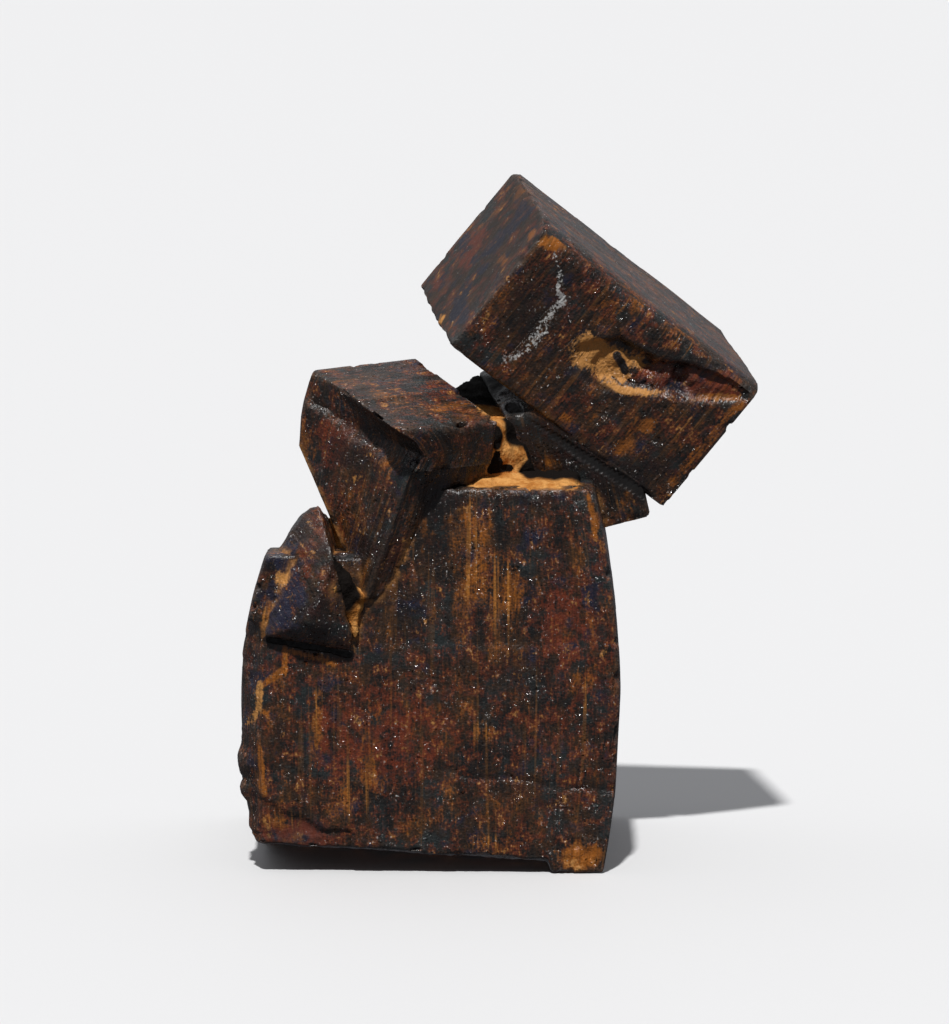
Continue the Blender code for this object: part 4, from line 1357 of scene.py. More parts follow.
        bare = nodes.ramp(mottle.outputs["Spot"], 0.3, 0.7, self.gloss[0], self.gloss[1])
        bare = nodes.math("MULTIPLY", bare, nodes.ramp(glints.outputs["Facet"], 0.0, 1.0, 1.0, 0.38))
        rough = nodes.math("MULTIPLY_ADD", ochre, 0.42, bare)
        rough = nodes.math("MULTIPLY_ADD", plain, 0.45, rough, clamp=True)
        nodes.feed(shader.inputs["Roughness"], rough)
        shader.inputs["IOR"].default_value = self.ior

        height = nodes.math("MULTIPLY_ADD", grain.outputs["Height"], 0.45, lines.outputs["Height"])
        height = nodes.math("MULTIPLY_ADD", mottle.outputs["Spot"], 0.6, height)
        height = nodes.math("MULTIPLY", height, coarse)
        nodes.feed(shader.inputs["Normal"], nodes.bump(height, self.relief, glints.outputs["Normal"]))
        return material


@dataclass(frozen=True)
class EarthFinish:
    """The ochre crust: earthy, matt and crumbly, browner in its hollows, with painted shade near black where
    shadows fall.

    Attributes:
        pale: Its lightest colour.
        deep: Its orange-brown.
        brown: Its colour in small pits.
        painted_shade: Painted shade, near black, in the deep gaps and where shadows fall.
        roughness: How matt it is.
        shine: How strong its sheen is.
        relief: How far the bump stands out.
    """

    pale: Colour = (0.660, 0.320, 0.095, 1.0)
    deep: Colour = (0.440, 0.165, 0.034, 1.0)
    brown: Colour = (0.120, 0.045, 0.014, 1.0)
    painted_shade: Colour = (0.007, 0.005, 0.004, 1.0)
    roughness: float = 0.85
    shine: float = 0.1
    relief: float = 0.12 * MM

    def material(self, groups: ShaderGroups) -> bpy.types.Material:
        """Makes the material.

        Args:
            groups: The shared shader groups.

        Returns:
            The material.
        """
        material, nodes, shader = new_material("limonite_earth")
        mottle = use_group(nodes, groups.mottle, Size=1.1 * MM, Shift=0.017)
        grain = use_group(nodes, groups.grain, Size=0.26 * MM)
        cool = nodes.stored("stain_cool")
        colour = nodes.blend(nodes.ramp(mottle.outputs["Blotch"], 0.40, 0.62), self.deep, self.pale)
        colour = nodes.blend(nodes.ramp(mottle.outputs["Spot"], 0.60, 0.78, 0.0, 0.75), colour, self.brown)
        # Painted shade: near black where the black stain is strong
        colour = nodes.blend(nodes.ramp(cool[1], 0.35, 0.65), colour, self.painted_shade)
        nodes.feed(shader.inputs["Base Color"], colour)
        shader.inputs["Roughness"].default_value = self.roughness
        shader.inputs["Specular IOR Level"].default_value = self.shine
        height = nodes.math("MULTIPLY_ADD", grain.outputs["Height"], 0.6, mottle.outputs["Spot"])
        nodes.feed(shader.inputs["Normal"], nodes.bump(height, self.relief))
        return material


@dataclass
class Cluster:
    """The whole specimen: its crystals and crust, joined into one piece.

    Attributes:
        large: The large cube.
        tabular: The tabular block.
        left: The upper left cube.
        middle: The middle cube.
        corner: The very small cube above the large one.
        small: The small worn cube at the left.
        web: What fills the gap behind the upper left cube, against the middle cube.
        crust: The wedges of earthy crust.
        patches: Where the stains and the painted shade are strong.
        overall: How strong some of the stains are everywhere.
    """

    large: LargeCube
    tabular: TabularBlock
    left: LeftCube
    middle: Crystal
    corner: Crystal
    small: Lump
    web: Lump
    crust: tuple[Lump, ...]
    patches: tuple[Patch, ...]
    overall: tuple[tuple[Stain, float], ...] = ((Stain.MAROON, 0.36), (Stain.RUST, 0.30), (Stain.BLUE, 0.12))

    CREVICE_REACH = 0.30 * MM
    SHARP_FROM = 48.0
    CLEARANCE = 8.0 * MM
    SUNK_IN = 0.4 * MM
    LOSS_OUTLINE = ((-9.37, 29.61), (-2.63, 14.83), (-8.6, 12.1), (-15.3, 26.9))
    LOSS_DEPTH = (-20.0, 3.1)
    SMOOTH_ROUNDS = 10
    HOLLOW_FROM_TO = (0.02 * MM, 0.12 * MM)
    RAISED_FROM_TO = (0.03 * MM, 0.14 * MM)
    FAR = 10**6

    def build(self, skin: SkinFinish, earth: EarthFinish) -> bpy.types.Object:
        """Makes the specimen.

        Args:
            skin: The crystals' finish.
            earth: The crust's finish.

        Returns:
            The finished piece.
        """
        groups = ShaderGroups()
        finishes = Finishes(skin.material(groups), earth.material(groups))
        tree = StriatedBlock()
        whole = self.large.build(tree, finishes)
        middle = self.middle.build(tree, finishes)
        combine(middle, self.tabular_clearance(finishes), "DIFFERENCE")
        combine(whole, middle, "UNION")
        left = self.left.build(tree, finishes)
        combine(left, self.left_loss(finishes), "DIFFERENCE")
        combine(whole, left, "UNION")
        combine(whole, self.tabular.build(tree, finishes), "UNION")
        combine(whole, self.corner.build(tree, finishes), "UNION")
        combine(whole, self.small.build(finishes, Finishes.SKIN, self.left.placement.matrix()), "UNION")
        combine(whole, self.web.build(finishes, Finishes.EARTH, self.middle.placement.matrix()), "UNION")
        for wedge in self.crust:
            combine(whole, wedge.build(finishes, Finishes.EARTH, Matrix.Identity(4)), "UNION")
        whole.name = "limonite_cluster"
        whole.data.name = "limonite_cluster"
        set_mesh_points(whole.data, np.clip(mesh_points(whole.data), *np.array(CAD_BOX)))
        self.store_masks(whole.data)
        whole.data.shade_smooth()
        whole.data.set_sharp_from_angle(angle=math.radians(self.SHARP_FROM))
        log.info("cluster: %d triangles", sum(len(p.vertices) - 2 for p in whole.data.polygons))
        return whole

    @staticmethod
    def hull(name: str, corners: list[Vector], finishes: Finishes) -> bpy.types.Object:
        """A plain body over these corners, used to cut with."""
        obj = new_object(name, hull_mesh(name, corners))
        finishes.dress(obj, Finishes.SKIN)
        return obj

    def tabular_clearance(self, finishes: Finishes) -> bpy.types.Object:
        """What the middle cube lacks inside the tabular block, so that it meets only its lower face."""
        half = [side / 2 for side in self.tabular.size]
        low = (-half[0] - self.CLEARANCE, -half[1] - self.CLEARANCE, -half[2] + self.SUNK_IN)
        high = (half[0] + self.CLEARANCE, half[1] + self.CLEARANCE, half[2])
        matrix = self.tabular.placement.matrix()
        corners = [matrix @ Vector(corner) for corner in itertools.product(*zip(low, high))]
        return self.hull("clearance", corners, finishes)

    def left_loss(self, finishes: Finishes) -> bpy.types.Object:
        """What the upper left cube lacks at its lower left, where it narrows to a tip."""
        corners = [Vector((x, y, z)) * MM for x, z in self.LOSS_OUTLINE for y in self.LOSS_DEPTH]
        return self.hull("loss", corners, finishes)

    def store_masks(self, mesh: bpy.types.Mesh) -> None:
        """Stores the stains and painted shade, and how hollow, how raised and how close to a seam each point
        is.
        """
        points = mesh_points(mesh)
        count = len(points)
        normals = mesh_normals(mesh)
        masks = {stain.value[0]: np.zeros((count, 3)) for stain in Stain}
        for stain, level in self.overall:
            name, channel = stain.value
            masks[name][:, channel] = level * (1 + 0.5 * rough_noise(points, 3.5 * MM, 90 + channel))
        warp = 1.0 * MM * np.stack([rough_noise(points, 2.0 * MM, 80 + axis) for axis in Axis], axis=1)
        for patch in self.patches:
            name, channel = patch.stain.value
            masks[name][:, channel] = np.maximum(masks[name][:, channel], patch.mask(points, normals, warp))
        hollow, worn = self.form_masks(mesh, points)
        seam = self.seam_mask(mesh, points)
        masks["form"] = np.stack([hollow, worn, seam], axis=1)
        for name, values in masks.items():
            store_vectors(mesh, name, "POINT", values)

    def form_masks(self, mesh: bpy.types.Mesh, points: np.ndarray) -> tuple[np.ndarray, np.ndarray]:
        """How hollow and how exposed each point is, against the surface smoothed over its neighbours.

        Args:
            mesh: The joined mesh.
            points: Its vertices.

        Returns:
            A mask of hollows, painted darker as shade, and a mask of raised edges, lighter for wear and as a
            painted highlight.
        """
        count = len(points)
        first, second = read_numbers(mesh.edges, "vertices", 2, np.int32).T
        degree = np.bincount(first, minlength=count) + np.bincount(second, minlength=count)
        smooth = points.copy()
        for _ in range(self.SMOOTH_ROUNDS):
            total = np.zeros_like(smooth)
            for axis in Axis:
                total[:, axis] = np.bincount(first, smooth[second, axis], count)
                total[:, axis] += np.bincount(second, smooth[first, axis], count)
            smooth = 0.5 * smooth + 0.5 * total / np.maximum(degree, 1)[:, None]
        depth = ((smooth - points) * mesh_normals(mesh)).sum(axis=1)
        return smooth_step(depth, *self.HOLLOW_FROM_TO), smooth_step(-depth, *self.RAISED_FROM_TO)

    def seam_mask(self, mesh: bpy.types.Mesh, points: np.ndarray) -> np.ndarray:
        """How close each point is to a line where two crystals meet."""
        vertex = read_numbers(mesh.loops, "vertex_index", 1, np.int32)
        growth = read_numbers(mesh.attributes["growth"].data, "vector", 3, np.float32)
        crystal = np.round(growth[:, 2] * 10.0).astype(int)
        low = np.full(len(points), self.FAR)
        high = np.full(len(points), -self.FAR)
        np.minimum.at(low, vertex, crystal)
        np.maximum.at(high, vertex, crystal)
        seam = np.flatnonzero(high > low)
        tree = KDTree(len(seam))
        for index, row in enumerate(seam):
            tree.insert(points[row], index)
        tree.balance()
        away = np.array([tree.find(point)[2] for point in points]) if len(seam) else np.full(len(points), 1.0)
        return np.exp(-((away / self.CREVICE_REACH) ** 2))


LARGE_CUBE = LargeCube(
    name="large_cube",
    size=(25.4 * MM, 22.0 * MM, 26.0 * MM),
    placement=Placement((0.0, 0.0, 13.0 * MM)),
    spacing=(0.18 * MM, 0.36 * MM, 0.24 * MM),
    seed=10,
    relief=Relief(line_height=0.08 * MM, ledge_height=0.11 * MM),
)
TABULAR_BLOCK = TabularBlock(
    name="tabular_block",
    size=(19.1 * MM, 13.5 * MM, 10.5 * MM),
    placement=Placement((10.69 * MM, -0.04 * MM, 34.84 * MM), turn=9.7, nod=10.6, lean=38.0),
    spacing=(0.22 * MM, 0.28 * MM, 0.22 * MM),
    seed=20,
    relief=Relief(edge_radius=0.20 * MM, line_height=0.09 * MM, ledge_height=0.09 * MM, chip_depth=0.4 * MM),
)
LEFT_CUBE = LeftCube(
    name="left_cube",
    size=(8.4 * MM, 9.9 * MM, 12.6 * MM),
    placement=Placement((-2.7 * MM, -7.0 * MM, 26.1 * MM), turn=35.2, nod=17.1, lean=-1.2),
    spacing=(0.19 * MM, 0.19 * MM, 0.26 * MM),
    seed=30,
)
MIDDLE_CUBE = Crystal(
    name="middle_cube",
    size=(8.1 * MM, 12.0 * MM, 9.6 * MM),
    placement=Placement((8.97 * MM, 0.3 * MM, 27.62 * MM), turn=9.5, nod=8.7, lean=-14.5),
    spacing=(0.22 * MM, 0.32 * MM, 0.28 * MM),
    seed=40,
)
CORNER_CUBE = Crystal(
    name="corner_cube",
    size=(2.3 * MM, 2.3 * MM, 2.3 * MM),
    placement=Placement((1.9 * MM, -7.6 * MM, 26.6 * MM), turn=45.0, nod=6.0, lean=4.0),
    spacing=(0.16 * MM, 0.16 * MM, 0.16 * MM),
    seed=50,
    relief=Relief(edge_radius=0.12 * MM, line_height=0.05 * MM, ledge_height=0.05 * MM, chip_depth=0.2 * MM),
)
SMALL_CUBE = Lump(
    name="small_cube",
    corners=(
        (-7.95, -9.2, 24.6), (-7.4, -9.6, 24.7), (-9.3, -9.8, 23.0), (-9.75, -10.2, 21.9),
        (-6.5, -12.6, 21.9), (-7.1, -13.0, 19.5), (-8.1, -12.9, 17.5), (-11.0, -11.5, 16.2),
        (-8.7, -12.4, 16.8), (-5.2, -11.6, 15.2), (-5.2, -12.0, 16.2), (-10.7, -8.0, 20.8),
        (-10.7, -8.0, 15.4), (-5.5, -8.0, 18.1), (-6.7, -7.0, 23.4), (-5.4, -8.0, 14.7), (-8.7, -7.0, 23.7),
    ),
    fineness=0.17 * MM,
    rough=0.11 * MM,
    grain=1.1 * MM,
    soften=2,
    seed=60,
)
WEB = Lump(
    name="web",
    corners=(
        (0.0, -4.0, 30.5), (1.3, -2.0, 31.5), (3.1, 4.4, 31.9), (5.1, -6.6, 30.1), (0.8, -4.0, 25.5),
        (4.6, 3.4, 25.5), (6.6, -5.0, 25.5), (2.2, 1.5, 25.5), (5.4, 3.0, 30.5), (6.2, -5.0, 29.5),
    ),
    fineness=0.22 * MM,
    rough=0.14 * MM,
    grain=1.3 * MM,
    soften=2,
    seed=120,
)


def crust_wedge(name: str, seed: int, corners: tuple[Point, ...]) -> Lump:
    """A wedge of crust in a corner between two crystals."""
    return Lump(name, corners, fineness=0.20 * MM, rough=0.30 * MM, grain=0.9 * MM, soften=3, seed=seed)


CRUST = (
    crust_wedge("crust_top", 70, (
        (-1.2, -10.5, 25.5), (10.0, -10.5, 25.5), (-1.2, -10.4, 26.1), (9.9, -10.4, 26.0),
        (-1.0, -6.4, 27.2), (9.8, -6.0, 26.5), (10.0, -3.5, 25.5), (-1.0, -3.5, 25.5),
    )),
    crust_wedge("crust_between", 80, (
        (3.6, -9.4, 30.1), (5.6, -6.0, 30.2), (2.0, -9.8, 27.0), (7.2, -6.1, 26.3),
        (4.4, -8.4, 26.3), (1.4, -6.0, 27.0), (4.0, -5.0, 30.0),
    )),
    crust_wedge("crust_left", 90, (
        (-6.7, -12.0, 22.0), (-4.4, -11.7, 18.7), (-4.9, -11.5, 15.9), (-6.6, -12.5, 19.4),
        (-5.4, -9.6, 15.8), (-4.2, -9.6, 19.0), (-7.2, -9.4, 22.0),
    )),
    crust_wedge("crust_behind", 100, (
        (-9.2, -4.8, 20.2), (-3.6, 3.4, 18.1), (-8.8, -4.4, 21.9), (-3.7, 2.6, 22.8),
        (-1.9, 0.3, 25.4), (-3.9, -4.1, 25.1), (-1.1, 1.2, 18.1), (-1.1, -6.0, 18.2),
    )),
    crust_wedge("crust_under", 110, (
        (5.4, 2.0, 31.2), (9.6, 4.4, 31.4), (5.6, 6.4, 30.9),
        (8.4, 7.6, 29.0), (5.6, 6.0, 27.6), (12.6, 6.2, 27.4),
    )),
)

# Where the tabular block's left face and its front face
LEFT_WAY = (-0.76, -0.24, 0.61)
FRONT_WAY = (0.17, -0.97, -0.18)


def stained(stain: Stain, places: list[tuple]) -> list[Patch]:
    """Patches of one stain. Each place holds the rest of a patch's values, in their order."""
    return [Patch(stain, *place) for place in places]


PATCHES = (
    # Front of the large cube
    *stained(Stain.RUST, [
        ((1.5, -11.0, 23.2), (3.6, 3.0, 3.4), 0.75),
        ((4.5, -11.0, 19.5), (4.2, 3.0, 4.2), 0.85),
        ((2.2, -11.0, 24.4), (0.9, 1.5, 1.5), 1.2),
        ((10.3, -11.0, 12.2), (2.0, 2.0, 3.5), 0.6),
        ((10.6, -11.0, 25.6), (0.4, 2.0, 0.5), 1.0, (11.0, -11.0, 23.0), 0.2),
        ((-5.0, -11.0, 6.0), (5.0, 2.0, 3.5), 0.6),
        ((-7.5, -11.0, 10.5), (1.0, 2.0, 3.5), 0.8),
        ((3.5, -11.0, 9.8), (2.2, 2.0, 1.4), 0.65),
        ((10.0, -11.0, 1.2), (2.8, 2.0, 1.7), 1.5),
        ((4.5, -11.0, 2.2), (4.5, 2.0, 1.2), 0.7),
        ((-10.0, -11.0, 3.6), (2.6, 2.5, 1.0), 0.8),
    ]),
    *stained(Stain.OCHRE, [
        ((1.7, -11.0, 24.0), (0.35, 1.5, 0.9), 0.6),
        ((2.7, -11.0, 24.6), (0.35, 1.5, 0.9), 0.6),
        ((-3.2, -11.0, 22.0), (0.5, 1.5, 0.7), 0.9),
        ((11.2, -11.0, 14.8), (0.5, 1.5, 0.6), 0.9),
        ((10.0, -11.0, 0.8), (1.7, 1.2, 0.9), 0.7),
    ]),
    *stained(Stain.MAROON, [
        ((-3.5, -11.0, 9.5), (8.5, 3.0, 6.0), 0.75),
        ((9.0, -11.0, 17.0), (3.4, 3.0, 6.0), 0.75),
        ((-9.0, -11.0, 2.6), (4.5, 2.5, 2.0), 1.1),
    ]),
    *stained(Stain.BLACK, [
        ((-1.5, -11.0, 18.0), (3.2, 2.0, 3.4), 0.7),
        ((6.5, -11.0, 13.5), (3.2, 2.0, 2.8), 0.5),
        ((-10.4, -11.0, 9.4), (1.0, 2.0, 2.6), 0.6),
        ((6.3, -11.0, 25.2), (3.6, 2.0, 0.9), 0.8),
        ((7.0, -11.0, 5.0), (3.4, 2.0, 2.2), 0.45),
    ]),
    *stained(Stain.SMOOTH, [
        ((-9.0, -11.0, 2.4), (3.8, 2.5, 2.2), 0.6),
    ]),
    *stained(Stain.GLINT, [
        ((2.6, -11.0, 25.9), (0.8, 1.2, 0.5), 1.2, (9.8, -11.0, 25.6)),
        ((-9.2, -11.0, 14.2), (2.6, 1.2, 1.0), 0.8),
    ]),
    # Its left edge and the small cube
    *stained(Stain.RUST, [
        ((-9.75, -11.0, 15.4), (0.4, 1.5, 0.5), 1.4, (-9.7, -11.0, 13.8), 0.25),
        ((-9.8, -11.0, 13.8), (0.35, 1.5, 0.4), 1.0, (-11.3, -11.0, 12.7), 0.25),
        ((-11.4, -11.0, 11.3), (0.3, 1.5, 0.3), 1.2, (-10.9, -11.0, 10.9), 0.25),
        ((-11.3, -11.0, 8.2), (0.4, 1.5, 0.6), 1.3, (-11.2, -11.0, 5.6), 0.3),
        ((-10.6, -9.5, 19.4), (0.5, 2.0, 0.5), 1.1, (-11.0, -10.5, 17.4), 0.4),
        ((-12.0, -10.5, 18.0), (1.6, 2.5, 2.6), 0.7),
        ((-9.3, -11.0, 15.1), (0.5, 0.8, 0.35), 1.2, (-6.5, -11.0, 14.3), 0.2),
    ]),
    *stained(Stain.OCHRE, [
        ((-11.4, -11.0, 12.9), (0.4, 1.5, 0.4), 1.2, (-11.4, -11.0, 11.3), 0.25),
        ((-11.4, -11.0, 11.3), (0.4, 1.5, 0.4), 1.1, (-12.4, -10.6, 9.8), 0.25),
        ((-10.0, -10.5, 20.0), (0.8, 2.0, 0.8), 1.2, None, 0.3),
    ]),
    *stained(Stain.BLUE, [
        ((-9.0, -11.0, 19.5), (3.0, 4.0, 5.0), 1.1),
        ((-12.0, -10.5, 13.5), (1.6, 2.5, 2.0), 0.9),
    ]),
    *stained(Stain.BLACK, [
        ((-8.6, -9.5, 23.4), (2.0, 3.4, 2.2), 0.9),
        ((-10.8, -10.5, 21.0), (1.0, 2.0, 0.9), 0.9),
        ((-7.5, -12.5, 17.5), (2.8, 1.6, 3.0), 0.9),
        # Painted shadow: a black band under the small cube
        ((-10.6, -11.1, 15.9), (0.8, 1.0, 0.6), 1.4, (-5.6, -11.2, 14.9), 0.2),
    ]),
    *stained(Stain.GLINT, [
        ((-10.5, -11.0, 19.1), (0.8, 1.5, 0.6), 1.3, None, 0.3),
        ((-11.3, -11.0, 18.2), (0.5, 1.5, 0.6), 1.0, None, 0.3),
        ((-6.7, -12.6, 21.6), (0.5, 1.2, 0.4), 1.4, (-7.8, -12.8, 18.2), 0.15),
    ]),
    # Upper left cube
    *stained(Stain.RUST, [
        ((-9.0, -8.0, 29.0), (1.6, 4.0, 3.4), 0.9),
        ((-3.4, -13.0, 25.6), (1.6, 2.0, 1.0), 0.7),
    ]),
    *stained(Stain.MAROON, [
        ((-6.8, -9.5, 29.0), (3.8, 4.0, 4.0), 0.8),
        ((1.2, -8.0, 32.5), (3.0, 4.0, 1.4), 0.8),
    ]),
    *stained(Stain.BLACK, [
        ((-4.8, -12.5, 22.0), (3.6, 3.4, 6.0), 1.0),
        ((-6.0, -10.5, 28.0), (3.6, 3.4, 3.4), 0.75),
        ((-5.7, -11.0, 21.5), (1.5, 1.5, 0.7), 1.4, None, 0.2),
        ((-4.0, -12.0, 30.0), (1.6, 3.0, 1.8), 0.6),
        # Painted shade on its right face, under its cap
        ((0.5, -10.5, 24.5), (3.0, 3.0, 6.0), 0.9),
    ]),
    *stained(Stain.GLINT, [
        ((-0.9, -13.0, 29.4), (0.8, 1.5, 0.8), 1.0, (-0.9, -13.0, 28.0), 0.3),
        ((1.8, -6.5, 32.4), (0.45, 2.5, 0.45), 1.4, (3.3, -8.0, 31.2), 0.15),
    ]),
    *stained(Stain.OCHRE, [
        ((3.4, -8.0, 31.2), (0.5, 2.5, 0.4), 1.3, (4.9, -9.0, 30.1), 0.15),
    ]),
    # Left face of the tabular block
    *stained(Stain.SMOOTH, [
        ((1.2, -2.5, 38.0), (4.0, 14.0, 4.0), 1.0, (6.5, -2.5, 44.0), 0.2, LEFT_WAY),
    ]),
    *stained(Stain.BLUE, [
        ((6.0, -2.7, 43.6), (1.5, 3.2, 1.6), 0.8, (4.4, -3.2, 41.6), 0.8, LEFT_WAY),
        ((2.1, -4.3, 38.2), (1.5, 3.2, 1.6), 0.9, (2.1, -6.9, 37.1), 0.8, LEFT_WAY),
        ((3.4, -4.0, 40.0), (1.0, 2.0, 1.2), 0.9, None, 0.5, LEFT_WAY),
        ((2.2, 2.6, 41.0), (0.8, 1.8, 1.4), 1.0, None, 0.5, LEFT_WAY),
    ]),
    *stained(Stain.RUST, [
        ((6.4, 0.3, 45.4), (1.1, 2.2, 1.3), 0.75, (4.4, 1.6, 43.3), 0.6, LEFT_WAY),
        ((4.4, 1.6, 43.3), (0.8, 1.5, 0.9), 0.8, (3.5, 1.5, 42.3), 0.4, LEFT_WAY),
        ((4.8, -6.1, 40.8), (0.8, 1.6, 0.9), 0.9, None, 0.4, LEFT_WAY),
        ((6.7, -7.6, 42.6), (0.9, 1.4, 0.9), 1.0, None, 0.4, LEFT_WAY),
    ]),
    *stained(Stain.MAROON, [
        ((3.4, 1.2, 42.0), (1.6, 3.0, 1.9), 0.9, (2.6, -0.6, 40.2), 0.8, LEFT_WAY),
        ((0.6, 1.3, 38.4), (1.2, 2.6, 1.9), 0.8, None, 0.6, LEFT_WAY),
    ]),
    *stained(Stain.OCHRE, [
        ((0.7, -3.7, 36.6), (0.6, 1.6, 0.7), 0.9, None, 0.3, LEFT_WAY),
    ]),
    # Front of the tabular block
    *stained(Stain.RUST, [
        ((8.3, -8.9, 42.4), (1.6, 2.0, 0.8), 1.5, None, 0.5, FRONT_WAY),
        ((12.8, -6.6, 38.2), (3.6, 2.6, 2.0), 0.6),
        ((17.4, -5.8, 35.6), (4.0, 2.6, 1.3), 0.6),
        ((14.6, -5.5, 30.1), (1.3, 1.8, 1.0), 1.4),
        ((13.0, -5.4, 28.5), (1.1, 1.8, 1.5), 0.9),
        ((9.3, -6.3, 30.2), (1.2, 1.8, 0.8), 1.1),
        ((17.4, -5.2, 29.4), (2.6, 2.4, 2.4), 0.6),
        ((20.9, -4.6, 30.8), (0.7, 1.8, 0.7), 1.0, (16.2, -4.4, 25.8), 0.4),
    ]),
    *stained(Stain.BLACK, [
        ((6.6, -7.6, 37.6), (3.6, 3.0, 4.0), 0.85),
        ((14.6, -4.8, 26.8), (2.0, 2.4, 1.8), 0.8),
        ((9.6, -7.2, 33.6), (0.9, 1.8, 0.7), 0.8, (13.2, -6.0, 31.3), 0.4),
    ]),
    *stained(Stain.MAROON, [
        ((14.0, -6.0, 36.6), (7.0, 3.0, 3.6), 0.5),
    ]),
    # Its hollow and groove
    *stained(Stain.OCHRE, [
        ((10.6, -6.8, 34.9), (1.7, 3.0, 1.9), 1.5, (12.4, -6.2, 33.7), 0.3),
        ((14.0, -6.2, 33.8), (1.0, 2.5, 0.9), 1.3, None, 0.3),
        ((11.4, -6.4, 32.4), (0.45, 1.8, 0.4), 1.2, (15.0, -5.7, 31.8), 0.2),
    ]),
    *stained(Stain.BLACK, [
        ((12.5, -6.5, 34.4), (0.45, 2.5, 0.45), 1.2, (13.1, -6.3, 33.3), 0.2),
        ((14.5, -6.2, 33.9), (0.8, 2.5, 0.45), 1.2, None, 0.2),
        ((12.3, -6.3, 32.9), (0.4, 2.5, 0.3), 0.8, (12.9, -6.3, 32.5), 0.3),
        # Painted shadow under the overhanging upper lip of the hollow and groove
        ((11.0, -7.1, 36.0), (0.4, 2.0, 0.35), 1.1, (14.0, -6.4, 34.9), 0.2),
        ((14.0, -6.4, 34.9), (0.4, 2.0, 0.4), 1.1, (16.7, -5.9, 34.5), 0.2),
        ((16.7, -5.9, 34.5), (0.4, 2.0, 0.35), 1.1, (19.6, -5.2, 33.4), 0.2),
    ]),
    *stained(Stain.MAROON, [
        ((14.6, -6.0, 33.2), (1.8, 2.2, 1.5), 1.3, (19.8, -4.8, 32.1), 0.4),
    ]),
    *stained(Stain.RUST, [
        ((18.2, -5.1, 31.5), (0.5, 1.5, 0.4), 1.6, (20.6, -4.6, 31.3), 0.2),
    ]),
    *stained(Stain.GLINT, [
        ((13.5, -6.1, 32.9), (0.9, 2.0, 0.7), 1.3, (16.0, -5.8, 32.8), 0.3),
        ((16.8, -5.3, 31.3), (0.7, 1.8, 0.5), 1.3, None, 0.3),
    ]),
    # Its vein
    *stained(Stain.VEIN, [
        ((8.2, -8.7, 41.6), (0.22, 1.5, 0.26), 0.8, (8.6, -8.4, 40.5), 0.3),
        ((8.6, -8.4, 40.5), (0.24, 1.5, 0.26), 0.9, (8.5, -8.2, 39.3), 0.3),
        ((8.5, -8.2, 39.3), (0.34, 1.5, 0.34), 1.1, (8.9, -8.0, 38.4), 0.3),
        ((8.9, -8.0, 38.4), (0.34, 1.5, 0.34), 1.0, (8.1, -7.8, 37.0), 0.3),
        ((8.1, -7.8, 37.0), (0.28, 1.5, 0.28), 0.9, (7.8, -7.7, 35.9), 0.3),
        ((8.1, -7.8, 37.0), (0.32, 1.5, 0.32), 0.9, (6.7, -7.9, 36.0), 0.3),
        ((6.9, -7.9, 35.8), (1.2, 1.5, 0.9), 0.8, None, 0.6),
        ((6.4, -7.8, 35.1), (0.45, 1.5, 0.4), 0.9, (5.0, -7.8, 34.1), 0.5),
    ]),
    # Under it: painted shade where it shadows the middle cube and the web and in the gaps beside them, and
    # rust
    *stained(Stain.BLACK, [
        ((2.6, 0.5, 31.0), (5.0, 6.5, 4.5), 1.6, None, 0.2),
        ((2.6, 2.5, 29.0), (6.0, 5.0, 5.0), 1.6, None, 0.2, (-0.30, 0.95, 0.0)),
        ((4.0, -5.6, 31.9), (1.1, 3.0, 1.0), 1.3, (14.4, -4.8, 24.7), 0.1),
        ((6.2, -6.2, 29.6), (2.4, 4.0, 2.4), 0.95, (13.2, -5.0, 25.6), 0.5),
        ((4.5, -8.2, 28.0), (0.35, 2.6, 0.45), 1.3, (4.1, -8.2, 27.1), 0.2),
        ((4.1, -8.2, 27.1), (0.5, 2.6, 0.38), 1.3, (5.3, -8.2, 27.0), 0.2),
        ((4.6, -8.2, 27.5), (0.5, 2.6, 0.5), 1.2, None, 0.2),
        ((4.5, -9.0, 29.3), (0.8, 2.0, 1.6), 1.0, None, 0.15),
        ((6.2, -6.3, 29.3), (0.55, 1.6, 0.6), 1.0, (6.9, -6.3, 27.3), 0.15),
        ((6.9, -6.2, 26.7), (1.8, 4.2, 1.2), 0.9, (9.8, -6.2, 26.4), 0.2),
    ]),
    *stained(Stain.RUST, [
        ((7.4, -6.0, 26.6), (1.4, 2.0, 1.0), 1.2),
        ((14.0, -5.0, 24.6), (1.6, 2.0, 1.0), 0.9),
    ]),
)


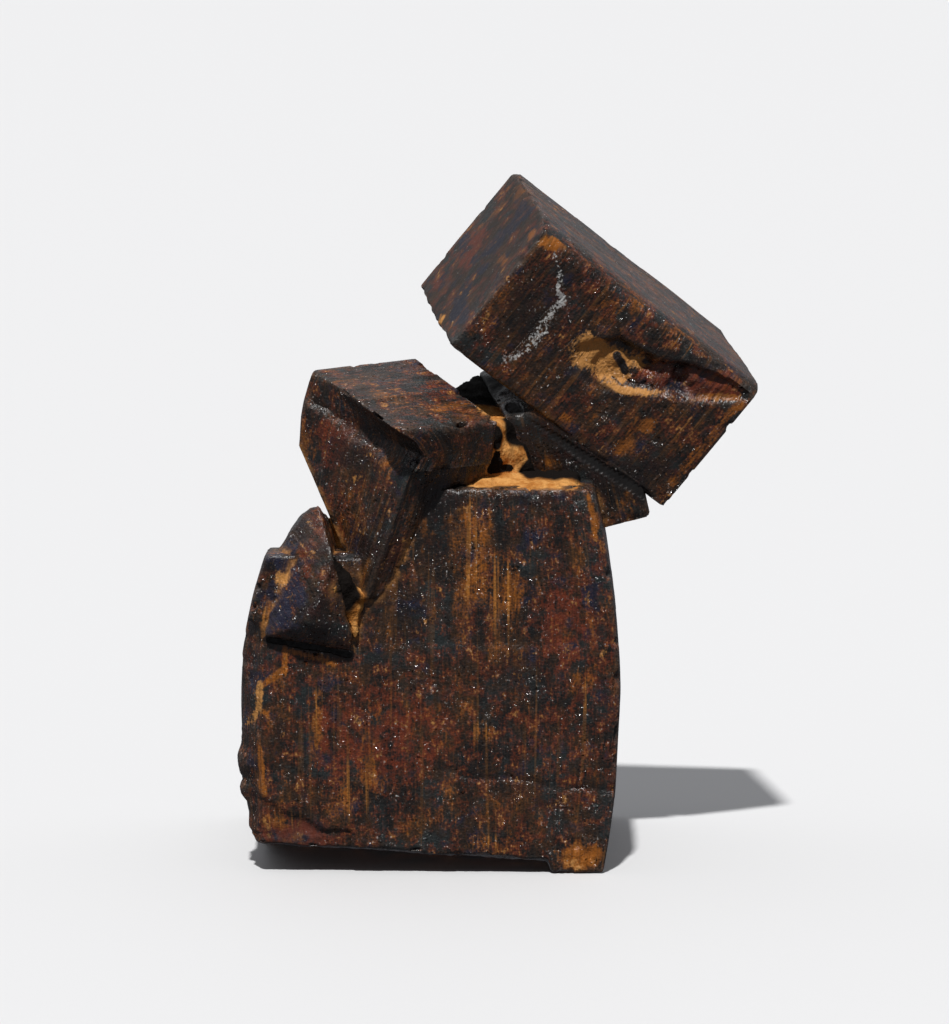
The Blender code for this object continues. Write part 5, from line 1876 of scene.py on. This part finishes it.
@dataclass(frozen=True)
class Portrait:
    """The floor, the light and the camera.

    Attributes:
        look_at: The point in the middle of the picture.
        distance: How far the camera is from it.
        pitch: How far the camera looks down, in degrees.
        lens: Its focal length, in millimetres.
        sensor: The sensor's width, in millimetres.
        floor_half: Half the floor's side.
        floor_colour: The floor's colour.
        floor_roughness: How matt the floor is.
        sky_behind: The surround's light from behind and above.
        sky_before: Its light from the viewer's side and from below.
        sun_from: The direction to the main light.
        sun_strength: The main light's strength.
        sun_width: Its angle as seen from the specimen, in degrees, which softens its shadows.
    """

    look_at: Point = (2.96 * MM, 0.0, 22.93 * MM)
    distance: float = 0.5
    pitch: float = 8.0
    lens: float = 258.5
    sensor: float = 36.0
    floor_half: float = 3.0
    floor_colour: Colour = (0.725, 0.722, 0.72, 1.0)
    floor_roughness: float = 0.7
    sky_behind: Colour = (0.46, 0.47, 0.49, 1.0)
    sky_before: Colour = (0.11, 0.11, 0.12, 1.0)
    sun_from: Point = (-0.075, -0.52, 0.85)
    sun_strength: float = 3.6
    sun_width: float = 2.5

    def floor(self) -> None:
        """A plain pale floor."""
        half = self.floor_half
        corners = [(-half, -half, 0.0), (half, -half, 0.0), (half, half, 0.0), (-half, half, 0.0)]
        mesh = bpy.data.meshes.new("floor")
        mesh.from_pydata(corners, [], [(0, 1, 2, 3)])
        floor = new_object("floor", mesh)
        material, _, shader = new_material("floor")
        shader.inputs["Base Color"].default_value = self.floor_colour
        shader.inputs["Roughness"].default_value = self.floor_roughness
        mesh.materials.append(material)
        floor.visible_diffuse = False
        floor.visible_glossy = False

    def sky(self) -> None:
        """A surround that is bright behind and above the specimen, and dim on the viewer's side."""
        world = bpy.data.worlds.new("studio")
        world.use_nodes = True
        nodes = Nodes(world.node_tree)
        way = nodes.split(nodes.add("ShaderNodeTexCoord").outputs["Generated"])
        behind = nodes.ramp(nodes.math("MULTIPLY_ADD", way[2], 0.35, way[1]), -0.25, 0.65)
        above = nodes.ramp(way[2], -0.10, 0.40)
        colour = nodes.blend(nodes.math("MULTIPLY", behind, above), self.sky_before, self.sky_behind)
        nodes.feed(world.node_tree.nodes["Background"].inputs["Color"], colour)
        bpy.context.scene.world = world

    def sun(self) -> None:
        """The main light, from high above the viewer."""
        data = bpy.data.lights.new("sun", "SUN")
        data.energy = self.sun_strength
        data.angle = math.radians(self.sun_width)
        lamp = bpy.data.objects.new("sun", data)
        lamp.rotation_euler = Vector(self.sun_from).to_track_quat("Z", "Y").to_euler()
        bpy.context.scene.collection.objects.link(lamp)

    def camera(self) -> None:
        """The camera at the photograph's angle."""
        data = bpy.data.cameras.new("camera")
        data.lens = self.lens
        data.sensor_width = self.sensor
        data.clip_start = 0.01
        camera = bpy.data.objects.new("camera", data)
        tilt = math.radians(self.pitch)
        back = Vector((0.0, -math.cos(tilt), math.sin(tilt))) * self.distance
        camera.location = Vector(self.look_at) + back
        camera.rotation_euler = (math.radians(90.0 - self.pitch), 0.0, 0.0)
        bpy.context.scene.collection.objects.link(camera)
        bpy.context.scene.camera = camera

    def build(self) -> None:
        """Sets the scene."""
        self.floor()
        self.sky()
        self.sun()
        self.camera()
        bpy.context.scene.view_settings.view_transform = "Standard"
        log.info("portrait: floor, surround, main light and camera")


def main() -> None:
    """Builds the specimen and its portrait."""
    logging.basicConfig(level=logging.INFO, format="%(name)s: %(message)s")
    crystals = (LARGE_CUBE, TABULAR_BLOCK, LEFT_CUBE, MIDDLE_CUBE, CORNER_CUBE)
    cluster = Cluster(*crystals, SMALL_CUBE, WEB, CRUST, PATCHES)
    piece = cluster.build(SkinFinish(), EarthFinish())
    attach(piece, "root")
    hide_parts(NODE_NAME)
    Portrait().build()


if __name__ == "__main__":
    main()
